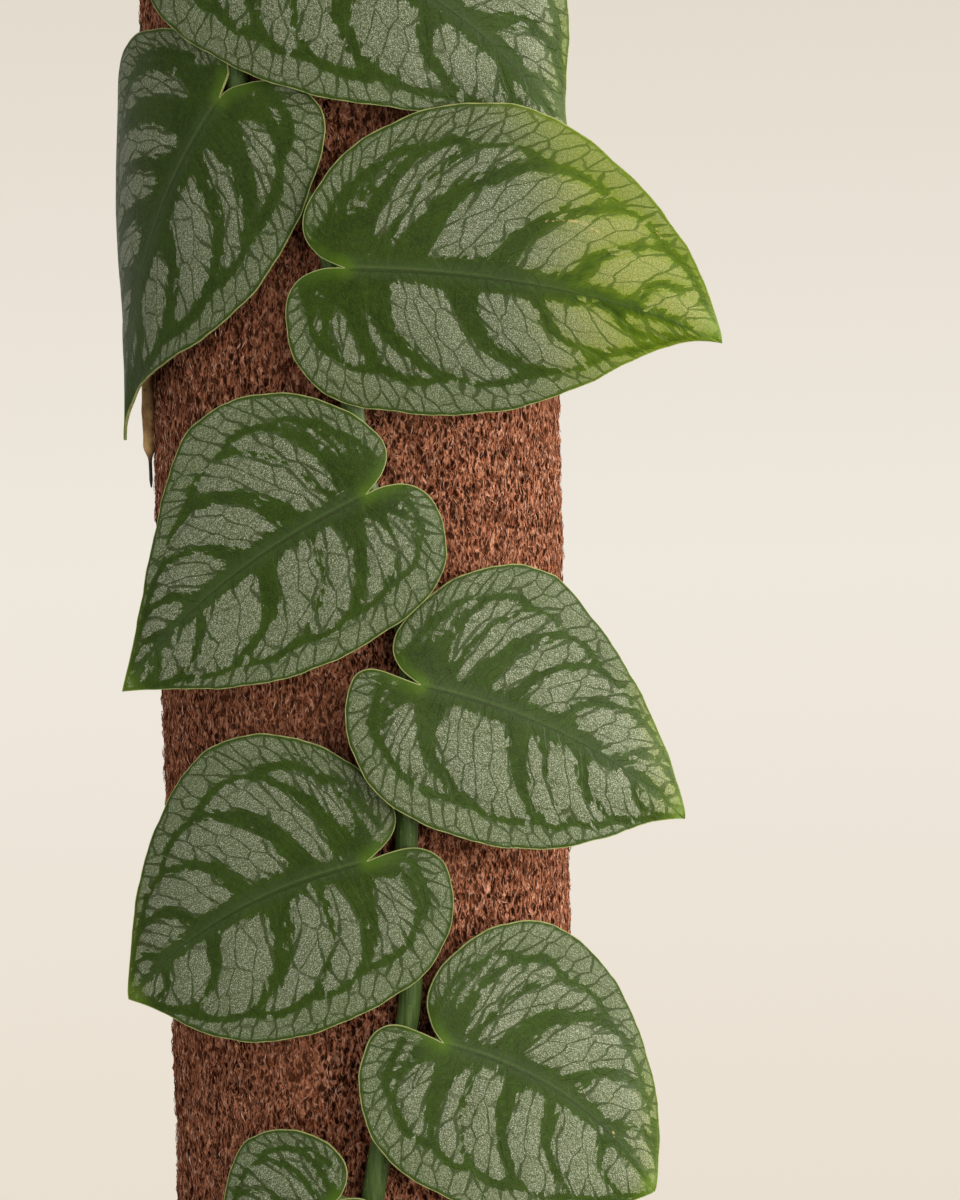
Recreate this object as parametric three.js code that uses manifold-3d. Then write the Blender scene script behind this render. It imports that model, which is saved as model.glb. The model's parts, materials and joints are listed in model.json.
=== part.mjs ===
// Potted monstera dubia: a shingling climber on a round pole of matted fibre, in a plain clay pot.
// Millimetres, +Z up. The origin is the centre of the pot's underside, and -Y is the plant's front.
// A place on the pole is given by its azimuth in degrees (0 is the front, positive towards +X),
// its height, and its distance from the pole's axis.
import * as THREE from 'three';
import { mergeVertices } from 'three/addons/utils/BufferGeometryUtils.js';
import Module from 'manifold-3d';

const wasm = await Module();
wasm.setup();

// Driving dimensions: gaps and small details
const GAP = 0.3;
const SMALLEST_EDGE = 0.03;
const DEG = Math.PI / 180;

// Driving dimensions: pot
const POT_HEIGHT = 135;
const POT_FOOT_RADIUS = 54;
const POT_FOOT_BEVEL = 2;
const POT_WALL_TOP_RADIUS = 67;
const POT_RIM_HEIGHT = 31;
const POT_RIM_LOW_RADIUS = 72.5;
const POT_RIM_TOP_RADIUS = 75;
const POT_RIM_ROUNDING = 1.5;
const POT_FLOOR = 8;
const POT_FLOOR_RADIUS = 48;
const POT_INSIDE_RADIUS = 62;
const POT_RIM_INSIDE_RADIUS = 69;
const POT_INSIDE_STEP = 8;
const POT_SIDES = 40;
const DRAIN_HOLES = 3;
const DRAIN_RADIUS = 5;
const DRAIN_CIRCLE = 28;
const DRAIN_SIDES = 12;

// Driving dimensions: soil and pole
const SOIL_TOP = 120;
const SOIL_RIM_GAP = 0.45;
const POLE_RADIUS = 30;
const POLE_BOTTOM = 25;
const POLE_TOP = 545;
const POLE_SIDES = 48;
const CORE_RADIUS = 8;
const CORE_PROUD = 2;
const CORE_SIDES = 24;

// Driving dimensions: stem and roots
const STEM_RADIUS = 1.7;
const STEM_AXIS = POLE_RADIUS + GAP + STEM_RADIUS;
const STEM_SIDES = 8;
const STEM_STEPS = 66;
// azimuth, height, and how far the stem's axis stands off its place against the pole
const STEM_ROUTE = [
  [-4, 95, 4], [-4, 110, 3.5], [-3, 124, 3], [0, 138, 0], [4, 154, 0], [3, 171, 0], [-2, 189, 0],
  [-6, 207, 0], [-5, 228, 0], [0, 246, 0], [5, 260, 0], [11, 275, 0], [11, 296, 0], [13.5, 318, 0],
  [12, 330, 0], [4, 347, 0], [0, 362, 0], [-2, 378, 0], [-14, 393, 0], [-27, 405, 0], [-28, 416, 0],
  [-24, 438, 0], [-16, 456, 0], [-7, 474, 0], [-5, 492, 0], [-7, 508, 0], [-8, 519, 0],
];
const ROOT_RADIUS = 0.8;
const ROOT_SIDES = 4;
const ROOT_STEPS = 4;
const ROOT_BELOW_JUNCTION = 7;
const ROOT_LENGTHS = [6, 12];
const ROOT_STUB_LENGTH = 3.2;
const ROOT_SAG = [0.5, 3];
const DRIED_ROOT_RADIUS = 1.35;
const DRIED_ROOT_ROUTE = [
  [-22, 401], [-42, 399], [-60, 393], [-75, 381], [-82, 366], [-82, 352], [-81, 347],
];
const DRIED_ROOT_STEPS = 14;

// Driving dimensions: leaves
const BLADE = 0.8;
const CAMBER = 0.8;
const STALK_RADIUS = 1;
const STALK_SIDES = 6;
const STALK_STEPS = 4;
const STALK_RISE = 7;
const BLADE_ROWS = 14;
const BLADE_COLUMNS = 3;
const NOTCH_ANGLE = 8 * DEG;
const NOTCH_REACH = 0.5;
const LOBE_LOW = 0.45;
const LOBE_ROUND = 0.55;
const TIP_REACH = 0.3;
const FAN_SHARE = 0.3;
const VEIN_CROWDING = 1.8;
const VEIN_ARCH = 0.12;
const ARCH_STARTS = 0.1;
const ARCH_FULL = 0.45;

// One leaf: side is 1 for a leaf that points right and -1 for left. azimuth and height place the
// point where the stalk meets the blade. wrap is the radius that the blade bends round, lift its
// distance off the pole there, and shingle its tilt, in degrees, that brings the lower edge forward.
// length runs from that point to the tip along a line that droops below level by droop degrees, and
// bow is how far the midrib arches above it. Each half of the outline runs from the notch round a
// lobe that reaches back and shoulder high, to its width at waist, and to the tip, where fullness
// keeps it wide and tip is the angle at which it arrives, in degrees.
const HALF = (back, shoulder, waist, width, fullness, tip) => ({
  back, shoulder, waist, width, fullness, tip,
});

const SEEN_LEAVES = [
  { name: 'leaf_06', side: -1, azimuth: -8.5, height: 246.5, wrap: 45, lift: 5.6, shingle: 5.5,
    length: 23.5, bow: 2, droop: 30,
    upper: HALF(4, 4, 8, 14, 0.25, 40), lower: HALF(4.5, 3.5, 4.5, 12.5, 0.75, 50) },
  { name: 'leaf_07', side: 1, azimuth: 17.5, height: 269, wrap: 80, lift: 5.6, shingle: 5.5,
    length: 42, bow: 4, droop: 38,
    upper: HALF(6.5, 6.5, 9.5, 24, 0.55, 85), lower: HALF(9.5, 3.5, 6.5, 18.5, 0.45, 55) },
  { name: 'leaf_08', side: -1, azimuth: 1, height: 296, wrap: 55, lift: 6, shingle: 5.5,
    length: 42, bow: 3.5, droop: 30,
    upper: HALF(7.5, 2.5, 13, 25.5, 0.4, 75), lower: HALF(9.5, 5, 5, 18.5, 0.75, 40) },
  { name: 'leaf_09', side: 1, azimuth: 14, height: 321, wrap: 80, lift: 6.2, shingle: 5.5,
    length: 48, bow: 3, droop: 29,
    upper: HALF(6.5, 2.5, 13, 23, 0.1, 75), lower: HALF(9.5, 1.5, 7, 17.5, 0.6, 20) },
  { name: 'leaf_10', side: -1, azimuth: 3, height: 348.5, wrap: 55, lift: 6.4, shingle: 5.5,
    length: 46, bow: 3, droop: 38,
    upper: HALF(7, 2.5, 13.5, 23.5, 0.25, 40), lower: HALF(7, 5.5, 4, 17, 0.55, 30) },
  { name: 'leaf_11', side: 1, azimuth: -0.5, height: 380.5, wrap: 100, lift: 7, shingle: -5,
    length: 58.5, bow: 3, droop: 13,
    upper: HALF(7.5, 3, 20, 27, 0.3, 75), lower: HALF(7.5, 4.5, 3.5, 19, 0.65, 0) },
  { name: 'leaf_12', side: -1, azimuth: -30, height: 404.5, wrap: 34.6, lift: 4.6, shingle: 0,
    length: 58, bow: 3, droop: 60,
    upper: HALF(6.5, 1.5, 15.5, 26, 0.4, 65), lower: HALF(7.5, 12.5, 13, 18.5, 0.5, -15) },
  { name: 'leaf_13', side: 1, azimuth: -19.5, height: 428.5, wrap: 45, lift: 6.4, shingle: 0,
    length: 58, bow: 6, droop: 35,
    upper: HALF(8, 6, 26, 26, 0.75, 30), lower: HALF(15, 10, -5, 19.5, 0.5, 0) },
];

// The other leaves share one form, in shares of their length, each a little changed by a seeded draw.
const TYPICAL_UPPER = HALF(0.16, 0.08, 0.28, 0.52, 0.32, 65);
const TYPICAL_LOWER = HALF(0.19, 0.09, 0.12, 0.4, 0.6, 30);
const FORM_CHANGE = 0.08;
const FORM_SEED = 7;
const OTHER_LEAVES = [
  { name: 'leaf_01', side: 1, azimuth: 10, height: 147, wrap: 45, lift: 5.4, length: 15.5, droop: 32 },
  { name: 'leaf_02', side: -1, azimuth: -5, height: 165.5, wrap: 45, lift: 5.4, length: 17, droop: 30 },
  { name: 'leaf_03', side: 1, azimuth: 7, height: 184.5, wrap: 46, lift: 5.5, length: 18.5, droop: 34 },
  { name: 'leaf_04', side: -1, azimuth: -13, height: 204.5, wrap: 45, lift: 5.5, length: 20, droop: 33 },
  { name: 'leaf_05', side: 1, azimuth: 4, height: 225, wrap: 48, lift: 5.5, length: 22, droop: 36 },
  { name: 'leaf_14', side: -1, azimuth: -24, height: 458, wrap: 42, lift: 7.4, length: 48, droop: 30 },
  { name: 'leaf_15', side: 1, azimuth: 0, height: 480, wrap: 60, lift: 7, length: 43, droop: 32 },
  { name: 'leaf_16', side: -1, azimuth: -12, height: 500, wrap: 50, lift: 6.4, length: 34, droop: 28 },
  { name: 'leaf_17', side: 1, azimuth: -3, height: 515, wrap: 50, lift: 6, length: 23, droop: 24 },
];
const TYPICAL_SHINGLE = 5.5;
const TYPICAL_BOW = 0.07;

// Driving dimensions: the rolled new leaf, its profile in shares of its radius and of its length
const NEW_LEAF = {
  azimuth: -6, bottom: 520.5, length: 22, radius: 2.1, lift: 2.8, lean: 1.5, sides: 10,
  profile: [[0, 0], [0.6, 0.04], [1, 0.35], [0.75, 0.7], [0.25, 0.95], [0, 1]],
};

// Colours, roughness
const clayMaterial = new THREE.MeshStandardMaterial({ color: 0xb0674a, roughness: 0.85, metalness: 0 });
const soilMaterial = new THREE.MeshStandardMaterial({ color: 0x33231a, roughness: 0.95, metalness: 0 });
const fibreMaterial = new THREE.MeshStandardMaterial({ color: 0x6e4630, roughness: 0.95, metalness: 0 });
const woodMaterial = new THREE.MeshStandardMaterial({ color: 0xb58f63, roughness: 0.7, metalness: 0 });
const stemMaterial = new THREE.MeshStandardMaterial({ color: 0x4f6b3a, roughness: 0.6, metalness: 0 });
const leafMaterial = new THREE.MeshStandardMaterial({ color: 0x5f7a55, roughness: 0.5, metalness: 0 });
const newLeafMaterial = new THREE.MeshStandardMaterial({ color: 0x8fae4e, roughness: 0.5, metalness: 0 });

// Point at an azimuth in degrees, a height and a distance from the pole's axis
function onPole(azimuth, height, distance) {
  const angle = azimuth * DEG;
  return new THREE.Vector3(distance * Math.sin(angle), -distance * Math.cos(angle), height);
}

// The same random numbers on each run
function seededDraw(seed) {
  let state = seed;
  return () => {
    state = (state * 16807) % 2147483647;
    return state / 2147483647;
  };
}

// Solids and geometries, one from the other
function toSolid(geometry) {
  const bare = geometry.clone();
  bare.deleteAttribute('normal');
  bare.deleteAttribute('uv');
  const merged = mergeVertices(bare, 1e-4);
  const corners = merged.getIndex().array;
  const kept = [];
  for (let i = 0; i < corners.length; i += 3) {
    const [a, b, c] = [corners[i], corners[i + 1], corners[i + 2]];
    if (a !== b && b !== c && c !== a) {
      kept.push(a, b, c);
    }
  }
  return new wasm.Manifold(new wasm.Mesh({
    numProp: 3,
    vertProperties: Float32Array.from(merged.getAttribute('position').array),
    triVerts: Uint32Array.from(kept),
  }));
}

function toGeometry(solid) {
  const mesh = solid.simplify(SMALLEST_EDGE).getMesh();
  const geometry = new THREE.BufferGeometry();
  geometry.setAttribute('position', new THREE.BufferAttribute(Float32Array.from(mesh.vertProperties), 3));
  geometry.setIndex(new THREE.BufferAttribute(Uint32Array.from(mesh.triVerts), 1));
  geometry.computeVertexNormals();
  return geometry;
}

// Solid of revolution about +Z from [radius, height] pairs
function turned(profile, sides) {
  const points = profile.map(([radius, height]) => new THREE.Vector2(radius, height));
  return new THREE.LatheGeometry(points, sides).rotateX(Math.PI / 2);
}

// Round bar of constant radius along a curve
function bar(curve, radius, sides, steps) {
  const section = new THREE.Shape();
  for (let i = 0; i < sides; i += 1) {
    const angle = (i / sides) * 2 * Math.PI;
    const method = i === 0 ? 'moveTo' : 'lineTo';
    section[method](radius * Math.cos(angle), radius * Math.sin(angle));
  }
  return new THREE.ExtrudeGeometry(section, { steps, extrudePath: curve, bevelEnabled: false });
}

// Pot: a tapered wall under a thick rim, with drainage holes clear of the middle
function potSolid() {
  const rimFoot = POT_HEIGHT - POT_RIM_HEIGHT;
  const profile = [
    [0, 0],
    [POT_FOOT_RADIUS - POT_FOOT_BEVEL, 0],
    [POT_FOOT_RADIUS, POT_FOOT_BEVEL],
    [POT_WALL_TOP_RADIUS, rimFoot],
    [POT_RIM_LOW_RADIUS, rimFoot],
    [POT_RIM_TOP_RADIUS, POT_HEIGHT - POT_RIM_ROUNDING],
    [POT_RIM_TOP_RADIUS - POT_RIM_ROUNDING, POT_HEIGHT],
    [POT_RIM_INSIDE_RADIUS + POT_RIM_ROUNDING, POT_HEIGHT],
    [POT_RIM_INSIDE_RADIUS, POT_HEIGHT - POT_RIM_ROUNDING],
    [POT_RIM_INSIDE_RADIUS, rimFoot + POT_INSIDE_STEP],
    [POT_INSIDE_RADIUS, rimFoot],
    [POT_FLOOR_RADIUS, POT_FLOOR],
    [0, POT_FLOOR],
  ];
  let pot = toSolid(turned(profile, POT_SIDES));
  for (let i = 0; i < DRAIN_HOLES; i += 1) {
    const angle = ((i + 0.5) / DRAIN_HOLES) * 2 * Math.PI;
    const hole = new THREE.CylinderGeometry(DRAIN_RADIUS, DRAIN_RADIUS, 3 * POT_FLOOR, DRAIN_SIDES);
    hole.rotateX(Math.PI / 2);
    hole.translate(DRAIN_CIRCLE * Math.cos(angle), DRAIN_CIRCLE * Math.sin(angle), 0);
    pot = pot.subtract(toSolid(hole));
  }
  return pot;
}

// Soil: fills the pot to just under the rim, with plain holes for the pole and the stem
function soilSolid(stemHole) {
  const rimFoot = POT_HEIGHT - POT_RIM_HEIGHT;
  const profile = [
    [0, POT_FLOOR + GAP],
    [POT_FLOOR_RADIUS - GAP, POT_FLOOR + GAP],
    [POT_INSIDE_RADIUS - GAP, rimFoot + GAP],
    [POT_RIM_INSIDE_RADIUS - SOIL_RIM_GAP, rimFoot + POT_INSIDE_STEP + GAP],
    [POT_RIM_INSIDE_RADIUS - SOIL_RIM_GAP, SOIL_TOP],
    [POLE_RADIUS + GAP, SOIL_TOP],
    [POLE_RADIUS + GAP, POLE_BOTTOM - GAP],
    [0, POLE_BOTTOM - GAP],
  ];
  return toSolid(turned(profile, POT_SIDES)).subtract(stemHole);
}

// Pole: a fibre sleeve round a wooden stake
function sleeveGeometry() {
  const inside = CORE_RADIUS + GAP;
  const profile = [
    [inside, POLE_BOTTOM],
    [POLE_RADIUS, POLE_BOTTOM],
    [POLE_RADIUS, POLE_TOP],
    [inside, POLE_TOP],
    [inside, POLE_BOTTOM],
  ];
  return turned(profile, POLE_SIDES);
}

function coreGeometry() {
  const profile = [
    [0, POLE_BOTTOM],
    [CORE_RADIUS, POLE_BOTTOM],
    [CORE_RADIUS, POLE_TOP + CORE_PROUD],
    [0, POLE_TOP + CORE_PROUD],
  ];
  return turned(profile, CORE_SIDES);
}

// Stem: one bar up the pole. Below each leaf a short root clasps the pole behind the blade, and the
// stub of another points the other way.
function stemCurve() {
  const points = STEM_ROUTE.map(([azimuth, height, off]) => onPole(azimuth, height, STEM_AXIS + off));
  return new THREE.CatmullRomCurve3(points);
}

// Azimuth in degrees of the stem at a height, by straight steps between the points of its route
function stemAzimuth(height) {
  const last = STEM_ROUTE.length - 1;
  for (let i = 0; i < last; i += 1) {
    const [from, low] = STEM_ROUTE[i];
    const [to, high] = STEM_ROUTE[i + 1];
    if (height <= high) {
      return from + ((to - from) * (height - low)) / (high - low);
    }
  }
  return STEM_ROUTE[last][0];
}

function claspingRoot(height, side, length, sag) {
  const distance = POLE_RADIUS + GAP + ROOT_RADIUS;
  const start = stemAzimuth(height);
  const turn = (side * length) / distance / DEG;
  const points = [0, 0.5, 1].map((share) => (
    onPole(start + turn * share, height - sag * share * share, distance)
  ));
  return toSolid(bar(new THREE.CatmullRomCurve3(points), ROOT_RADIUS, ROOT_SIDES, ROOT_STEPS));
}

function driedRoot() {
  const distance = POLE_RADIUS + GAP + DRIED_ROOT_RADIUS;
  const points = DRIED_ROOT_ROUTE.map(([azimuth, height]) => onPole(azimuth, height, distance));
  const curve = new THREE.CatmullRomCurve3(points);
  return toSolid(bar(curve, DRIED_ROOT_RADIUS, STEM_SIDES, DRIED_ROOT_STEPS));
}

function stemSolid(leaves) {
  const draw = seededDraw(FORM_SEED);
  let stem = toSolid(bar(stemCurve(), STEM_RADIUS, STEM_SIDES, STEM_STEPS)).add(driedRoot());
  for (const leaf of leaves) {
    const height = leaf.height - ROOT_BELOW_JUNCTION;
    const length = ROOT_LENGTHS[0] + draw() * (ROOT_LENGTHS[1] - ROOT_LENGTHS[0]);
    const sag = ROOT_SAG[0] + draw() * (ROOT_SAG[1] - ROOT_SAG[0]);
    stem = stem.add(claspingRoot(height, leaf.side, length, sag));
    stem = stem.add(claspingRoot(height, -leaf.side, ROOT_STUB_LENGTH, 0));
  }
  return stem;
}

// Leaf: half of the outline in the leaf's own plane, u to the tip and v across, as three cubic arcs
function halfOutline(length, half) {
  const { back, shoulder, waist, width, fullness } = half;
  const arrival = half.tip * DEG;
  const notch = NOTCH_REACH * back;
  const reach = TIP_REACH * (length - waist);
  const path = new THREE.Path();
  path.moveTo(0, 0);
  path.bezierCurveTo(
    -notch * Math.cos(NOTCH_ANGLE), notch * Math.sin(NOTCH_ANGLE),
    -back, LOBE_LOW * shoulder,
    -back, shoulder,
  );
  path.bezierCurveTo(
    -back, shoulder + LOBE_ROUND * (width - shoulder),
    waist - LOBE_ROUND * (waist + back), width,
    waist, width,
  );
  path.bezierCurveTo(
    waist + fullness * (length - waist), width,
    length - reach * Math.cos(arrival), reach * Math.sin(arrival),
    length, 0,
  );
  return path.getSpacedPoints(BLADE_ROWS);
}

// One point of a half blade: along is the share of the outline from notch to tip that its side vein
// runs to, across is 0 at the midrib and 1 at the margin. The veins of the first share fan out of the
// stalk, and the rest leave the midrib in turn and arch towards the tip.
function bladePoint(leaf, edge, along, across) {
  const past = Math.max(0, (along - FAN_SHARE) / (1 - FAN_SHARE));
  const share = past ** VEIN_CROWDING;
  const root = new THREE.Vector2(leaf.length * share, 4 * leaf.bow * share * (1 - share));
  const reach = new THREE.Vector2().subVectors(edge, root);
  const arch = VEIN_ARCH * THREE.MathUtils.smoothstep(along, ARCH_STARTS, ARCH_FULL) * Math.sign(edge.y);
  const middle = new THREE.Vector2(
    root.x + reach.x / 2 - arch * reach.y,
    root.y + reach.y / 2 + arch * reach.x,
  );
  return new THREE.QuadraticBezierCurve(root, middle, edge).getPoint(across);
}

// From the leaf's plane onto the round that it wraps, proud of it by the given amount
function wrapped(leaf, point, across, proud) {
  const tilt = leaf.droop * DEG;
  const sideways = leaf.side * (point.x * Math.cos(tilt) + point.y * Math.sin(tilt));
  const upward = -point.x * Math.sin(tilt) + point.y * Math.cos(tilt);
  const rise = -CAMBER * across * across - Math.tan(leaf.shingle * DEG) * upward;
  const start = leaf.azimuth * DEG;
  const distance = POLE_RADIUS + leaf.lift;
  const centre = onPole(leaf.azimuth, 0, distance - leaf.wrap);
  const place = onPole((start + sideways / leaf.wrap) / DEG, leaf.height + upward, leaf.wrap + rise + proud);
  return place.add(centre);
}

// Both halves of the blade as one closed sheet: the same triangles on its face and its back, and a rim
function bladeSolid(leaf) {
  const positions = [];
  const triangles = [];
  const perRow = BLADE_COLUMNS + 1;
  const perSheet = (BLADE_ROWS + 1) * perRow;
  for (const [halfName, up] of [['upper', 1], ['lower', -1]]) {
    const outline = halfOutline(leaf.length, leaf[halfName]);
    const first = positions.length / 3;
    for (const proud of [BLADE / 2, -BLADE / 2]) {
      for (let i = 0; i <= BLADE_ROWS; i += 1) {
        const ends = i === 0 || i === BLADE_ROWS;
        const edge = new THREE.Vector2(outline[i].x, ends ? 0 : outline[i].y * up);
        for (let j = 0; j <= BLADE_COLUMNS; j += 1) {
          const across = j / BLADE_COLUMNS;
          const flat = bladePoint(leaf, edge, i / BLADE_ROWS, across);
          positions.push(...wrapped(leaf, flat, ends ? 0 : across, proud).toArray());
        }
      }
    }
    const turn = up * leaf.side > 0;
    const put = (a, b, c) => triangles.push(...(turn ? [a, b, c] : [a, c, b]));
    for (let i = 0; i < BLADE_ROWS; i += 1) {
      for (let j = 0; j < BLADE_COLUMNS; j += 1) {
        const near = first + i * perRow + j;
        const far = near + perRow;
        put(near, far, far + 1);
        put(near, far + 1, near + 1);
        put(near + perSheet, far + perSheet + 1, far + perSheet);
        put(near + perSheet, near + perSheet + 1, far + perSheet + 1);
      }
      const rim = first + i * perRow + BLADE_COLUMNS;
      const next = rim + perRow;
      put(rim, next, next + perSheet);
      put(rim, next + perSheet, rim + perSheet);
    }
  }
  const geometry = new THREE.BufferGeometry();
  geometry.setAttribute('position', new THREE.BufferAttribute(Float32Array.from(positions), 3));
  geometry.setIndex(triangles);
  return toSolid(geometry);
}

// Leaf stalk: rises along the stem and bends out to the back of the blade
function stalkSolid(leaf) {
  const low = leaf.height - STALK_RISE;
  const end = onPole(leaf.azimuth, leaf.height, POLE_RADIUS + leaf.lift);
  const start = onPole(stemAzimuth(low), low, STEM_AXIS);
  const bend = onPole(stemAzimuth(leaf.height), leaf.height - STALK_RISE / 3, STEM_AXIS + STEM_RADIUS);
  const curve = new THREE.QuadraticBezierCurve3(start, bend, end);
  return toSolid(bar(curve, STALK_RADIUS, STALK_SIDES, STALK_STEPS));
}

function leafSolid(leaf, stemHole) {
  return bladeSolid(leaf).add(stalkSolid(leaf)).subtract(stemHole);
}

// The leaves outside the close view: the typical form at its own length, with small seeded changes
function completed(leaf, draw) {
  const change = () => 1 + FORM_CHANGE * (2 * draw() - 1);
  const sized = (half) => HALF(
    half.back * leaf.length * change(),
    half.shoulder * leaf.length * change(),
    half.waist * leaf.length * change(),
    half.width * leaf.length * change(),
    half.fullness,
    half.tip,
  );
  return {
    ...leaf,
    shingle: TYPICAL_SHINGLE,
    bow: TYPICAL_BOW * leaf.length,
    upper: sized(TYPICAL_UPPER),
    lower: sized(TYPICAL_LOWER),
  };
}

// New leaf: a slim roll, widest below its middle, that stands at the stem's end
function newLeafGeometry() {
  const { azimuth, bottom, length, radius, lift, lean, sides, profile } = NEW_LEAF;
  const geometry = turned(profile.map(([wide, high]) => [radius * wide, length * high]), sides);
  const foot = onPole(azimuth, bottom, POLE_RADIUS + lift);
  geometry.rotateX(lean * DEG);
  geometry.translate(foot.x, foot.y, foot.z);
  return geometry;
}

const group = new THREE.Group();

function addPiece(name, geometry, material) {
  const mesh = new THREE.Mesh(geometry, material);
  mesh.name = name;
  group.add(mesh);
}

const draw = seededDraw(FORM_SEED);
const leaves = [...OTHER_LEAVES.map((leaf) => completed(leaf, draw)), ...SEEN_LEAVES];
const stemHole = toSolid(bar(stemCurve(), STEM_RADIUS + GAP, STEM_SIDES, STEM_STEPS));

addPiece('pot', toGeometry(potSolid()), clayMaterial);
addPiece('soil', toGeometry(soilSolid(stemHole)), soilMaterial);
addPiece('pole_sleeve', sleeveGeometry(), fibreMaterial);
addPiece('pole_core', coreGeometry(), woodMaterial);
addPiece('stem', toGeometry(stemSolid(leaves)), stemMaterial);
for (const leaf of leaves) {
  addPiece(leaf.name, toGeometry(leafSolid(leaf, stemHole)), leafMaterial);
}
addPiece('new_leaf', newLeafGeometry(), newLeafMaterial);

export default group;
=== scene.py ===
"""Potted monstera dubia on a fibre pole, dressed for its picture.

Sizes are in millimetres and become metres when a mesh is made. +Z is up, the origin is the centre
of the pot's underside, and -Y is the plant's front. A place on the pole is its azimuth in degrees
(0 is the front, positive towards +X), its height and its distance from the pole's axis.
"""

import json
import math

import bpy
import numpy as np
from mathutils import Matrix, Vector

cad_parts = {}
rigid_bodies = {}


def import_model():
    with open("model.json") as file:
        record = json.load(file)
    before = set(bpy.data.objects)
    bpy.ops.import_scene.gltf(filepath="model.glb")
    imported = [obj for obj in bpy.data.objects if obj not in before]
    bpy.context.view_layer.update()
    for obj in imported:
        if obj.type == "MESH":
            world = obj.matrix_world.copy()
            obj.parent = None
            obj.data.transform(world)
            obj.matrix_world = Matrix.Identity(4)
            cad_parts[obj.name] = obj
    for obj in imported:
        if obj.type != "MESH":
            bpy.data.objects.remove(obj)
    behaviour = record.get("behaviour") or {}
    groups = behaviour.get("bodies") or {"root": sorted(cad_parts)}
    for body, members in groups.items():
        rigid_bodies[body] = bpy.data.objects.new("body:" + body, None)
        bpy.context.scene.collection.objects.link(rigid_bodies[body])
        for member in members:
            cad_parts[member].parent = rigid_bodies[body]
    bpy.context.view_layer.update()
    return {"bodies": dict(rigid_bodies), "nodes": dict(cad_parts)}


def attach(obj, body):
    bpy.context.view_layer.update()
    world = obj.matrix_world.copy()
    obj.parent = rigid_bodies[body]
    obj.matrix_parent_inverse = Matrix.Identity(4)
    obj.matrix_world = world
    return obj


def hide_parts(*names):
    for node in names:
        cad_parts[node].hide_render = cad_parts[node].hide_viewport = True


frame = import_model()

frame_objects = set(frame["nodes"].values()) | set(frame["bodies"].values())
for leftover in [thing for thing in bpy.data.objects if thing not in frame_objects]:
    bpy.data.objects.remove(leftover)

MM = 0.001
GAP = 0.3
ROUNDING_STEPS = 5

# Pot and soil
POT_HEIGHT = 135
POT_FOOT_RADIUS = 54
POT_WALL_TOP_RADIUS = 67
POT_RIM_HEIGHT = 31
POT_RIM_LOW_RADIUS = 72.5
POT_RIM_TOP_RADIUS = 75
POT_FLOOR = 8
POT_FLOOR_RADIUS = 48
POT_INSIDE_RADIUS = 62
POT_RIM_INSIDE_RADIUS = 69
POT_INSIDE_STEP = 8
POT_SIDES = 144
DRAIN_HOLES = 3
DRAIN_RADIUS = 5
DRAIN_CIRCLE = 28
POT_ROUNDING = 1.8
POT_SHARP = 35
SOIL_TOP = 120
SOIL_SINKS = 0.6
SOIL_EDGE_GAP = 0.45
SOIL_RINGS = 46
SOIL_SIDES = 260
# Lumps of the soil's surface: height, size and seed
SOIL_LUMPS = ((3.4, 9, 31), (2.2, 3, 32), (0.9, 1.2, 33))
CRUMB_ROUGHNESS = (0.72, 1.25)
CRUMB_LENGTHS = (0.8, 1.5)
CRUMB_WIDTHS = (0.6, 1.0)
CRUMBS = {"count": 620, "sizes": (0.9, 2.4), "flatness": 0.7, "seed": 41}
GRIT = {"count": 90, "sizes": (0.6, 1.5), "flatness": 0.85, "seed": 42}

# Pole
POLE_RADIUS = 30
POLE_BOTTOM = 25
POLE_TOP = 545
CORE_RADIUS = 8
CORE_PROUD = 2
CORE_CHAMFER = 0.7
SEEN_BAND = (236, 424)
FELT_RADIUS = 29.75
# The felt's pits start this far below the soil's surface
FELT_BELOW_SOIL = 4
# Rows of the felt's grid below the soil, up to the seen band, in it and above it, and its columns on the
# front, which reaches so many degrees to either side, and on the back
FELT_ROWS = (10, 80, 300, 84)
FELT_COLUMNS = (142, 54)
FELT_FRONT = 100
FIBRE_COUNT = 33000
FIBRES_IN_BAND = 0.62
FIBRE_FRONT = 98
FIBRE_LENGTHS = (1.0, 3.0)
FIBRE_RADII = (0.045, 0.09)
FIBRE_LIFT = 0.22
FIBRE_SINK = (0.1, 0.3)
FIBRE_LEAN = 0.42
WILD_FIBRES = 0.12
WILD_LEAN = 1.1

# Stem and roots: azimuth, height and how far the stem's axis stands off its place against the pole
STEM_RADIUS = 1.7
STEM_AXIS = POLE_RADIUS + GAP + STEM_RADIUS
STEM_SLACK = 0.06
STEM_SIDES = 20
# Swellings of the stem at each node: share of its radius, height above the node and half-length
NODE_SWELLINGS = ((0.16, 0, 2.2), (0.07, 2.4, 0.35))
STEM_TAPER = (516, 519.2)
STEM_ROUTE = [
    [-4, 95, 4], [-4, 110, 3.5], [-3, 124, 3], [0, 138, 0], [4, 154, 0], [3, 171, 0], [-2, 189, 0],
    [-6, 207, 0], [-5, 228, 0], [0, 246, 0], [5, 260, 0], [11, 275, 0], [11, 296, 0], [13.5, 318, 0],
    [12, 330, 0], [4, 347, 0], [0, 362, 0], [-2, 378, 0], [-14, 393, 0], [-27, 405, 0], [-28, 416, 0],
    [-24, 438, 0], [-16, 456, 0], [-7, 474, 0], [-5, 492, 0], [-7, 508, 0], [-8, 519, 0],
]
ROOT_RADIUS = 0.8
ROOT_BELOW_JUNCTION = 7
ROOT_LENGTHS = (6, 12)
ROOT_STUB_LENGTH = 3.6
ROOT_SAG = (0.5, 3)
ROOT_STUB_SAG = 0.3
DRIED_ROOT_RADIUS = 0.95
DRIED_ROOT_ROUTE = [
    [-22, 401], [-42, 399], [-60, 393], [-75, 381], [-82, 366], [-82, 352], [-81, 347],
]
DRIED_TAIL = (350.5, 352.5)
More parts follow.
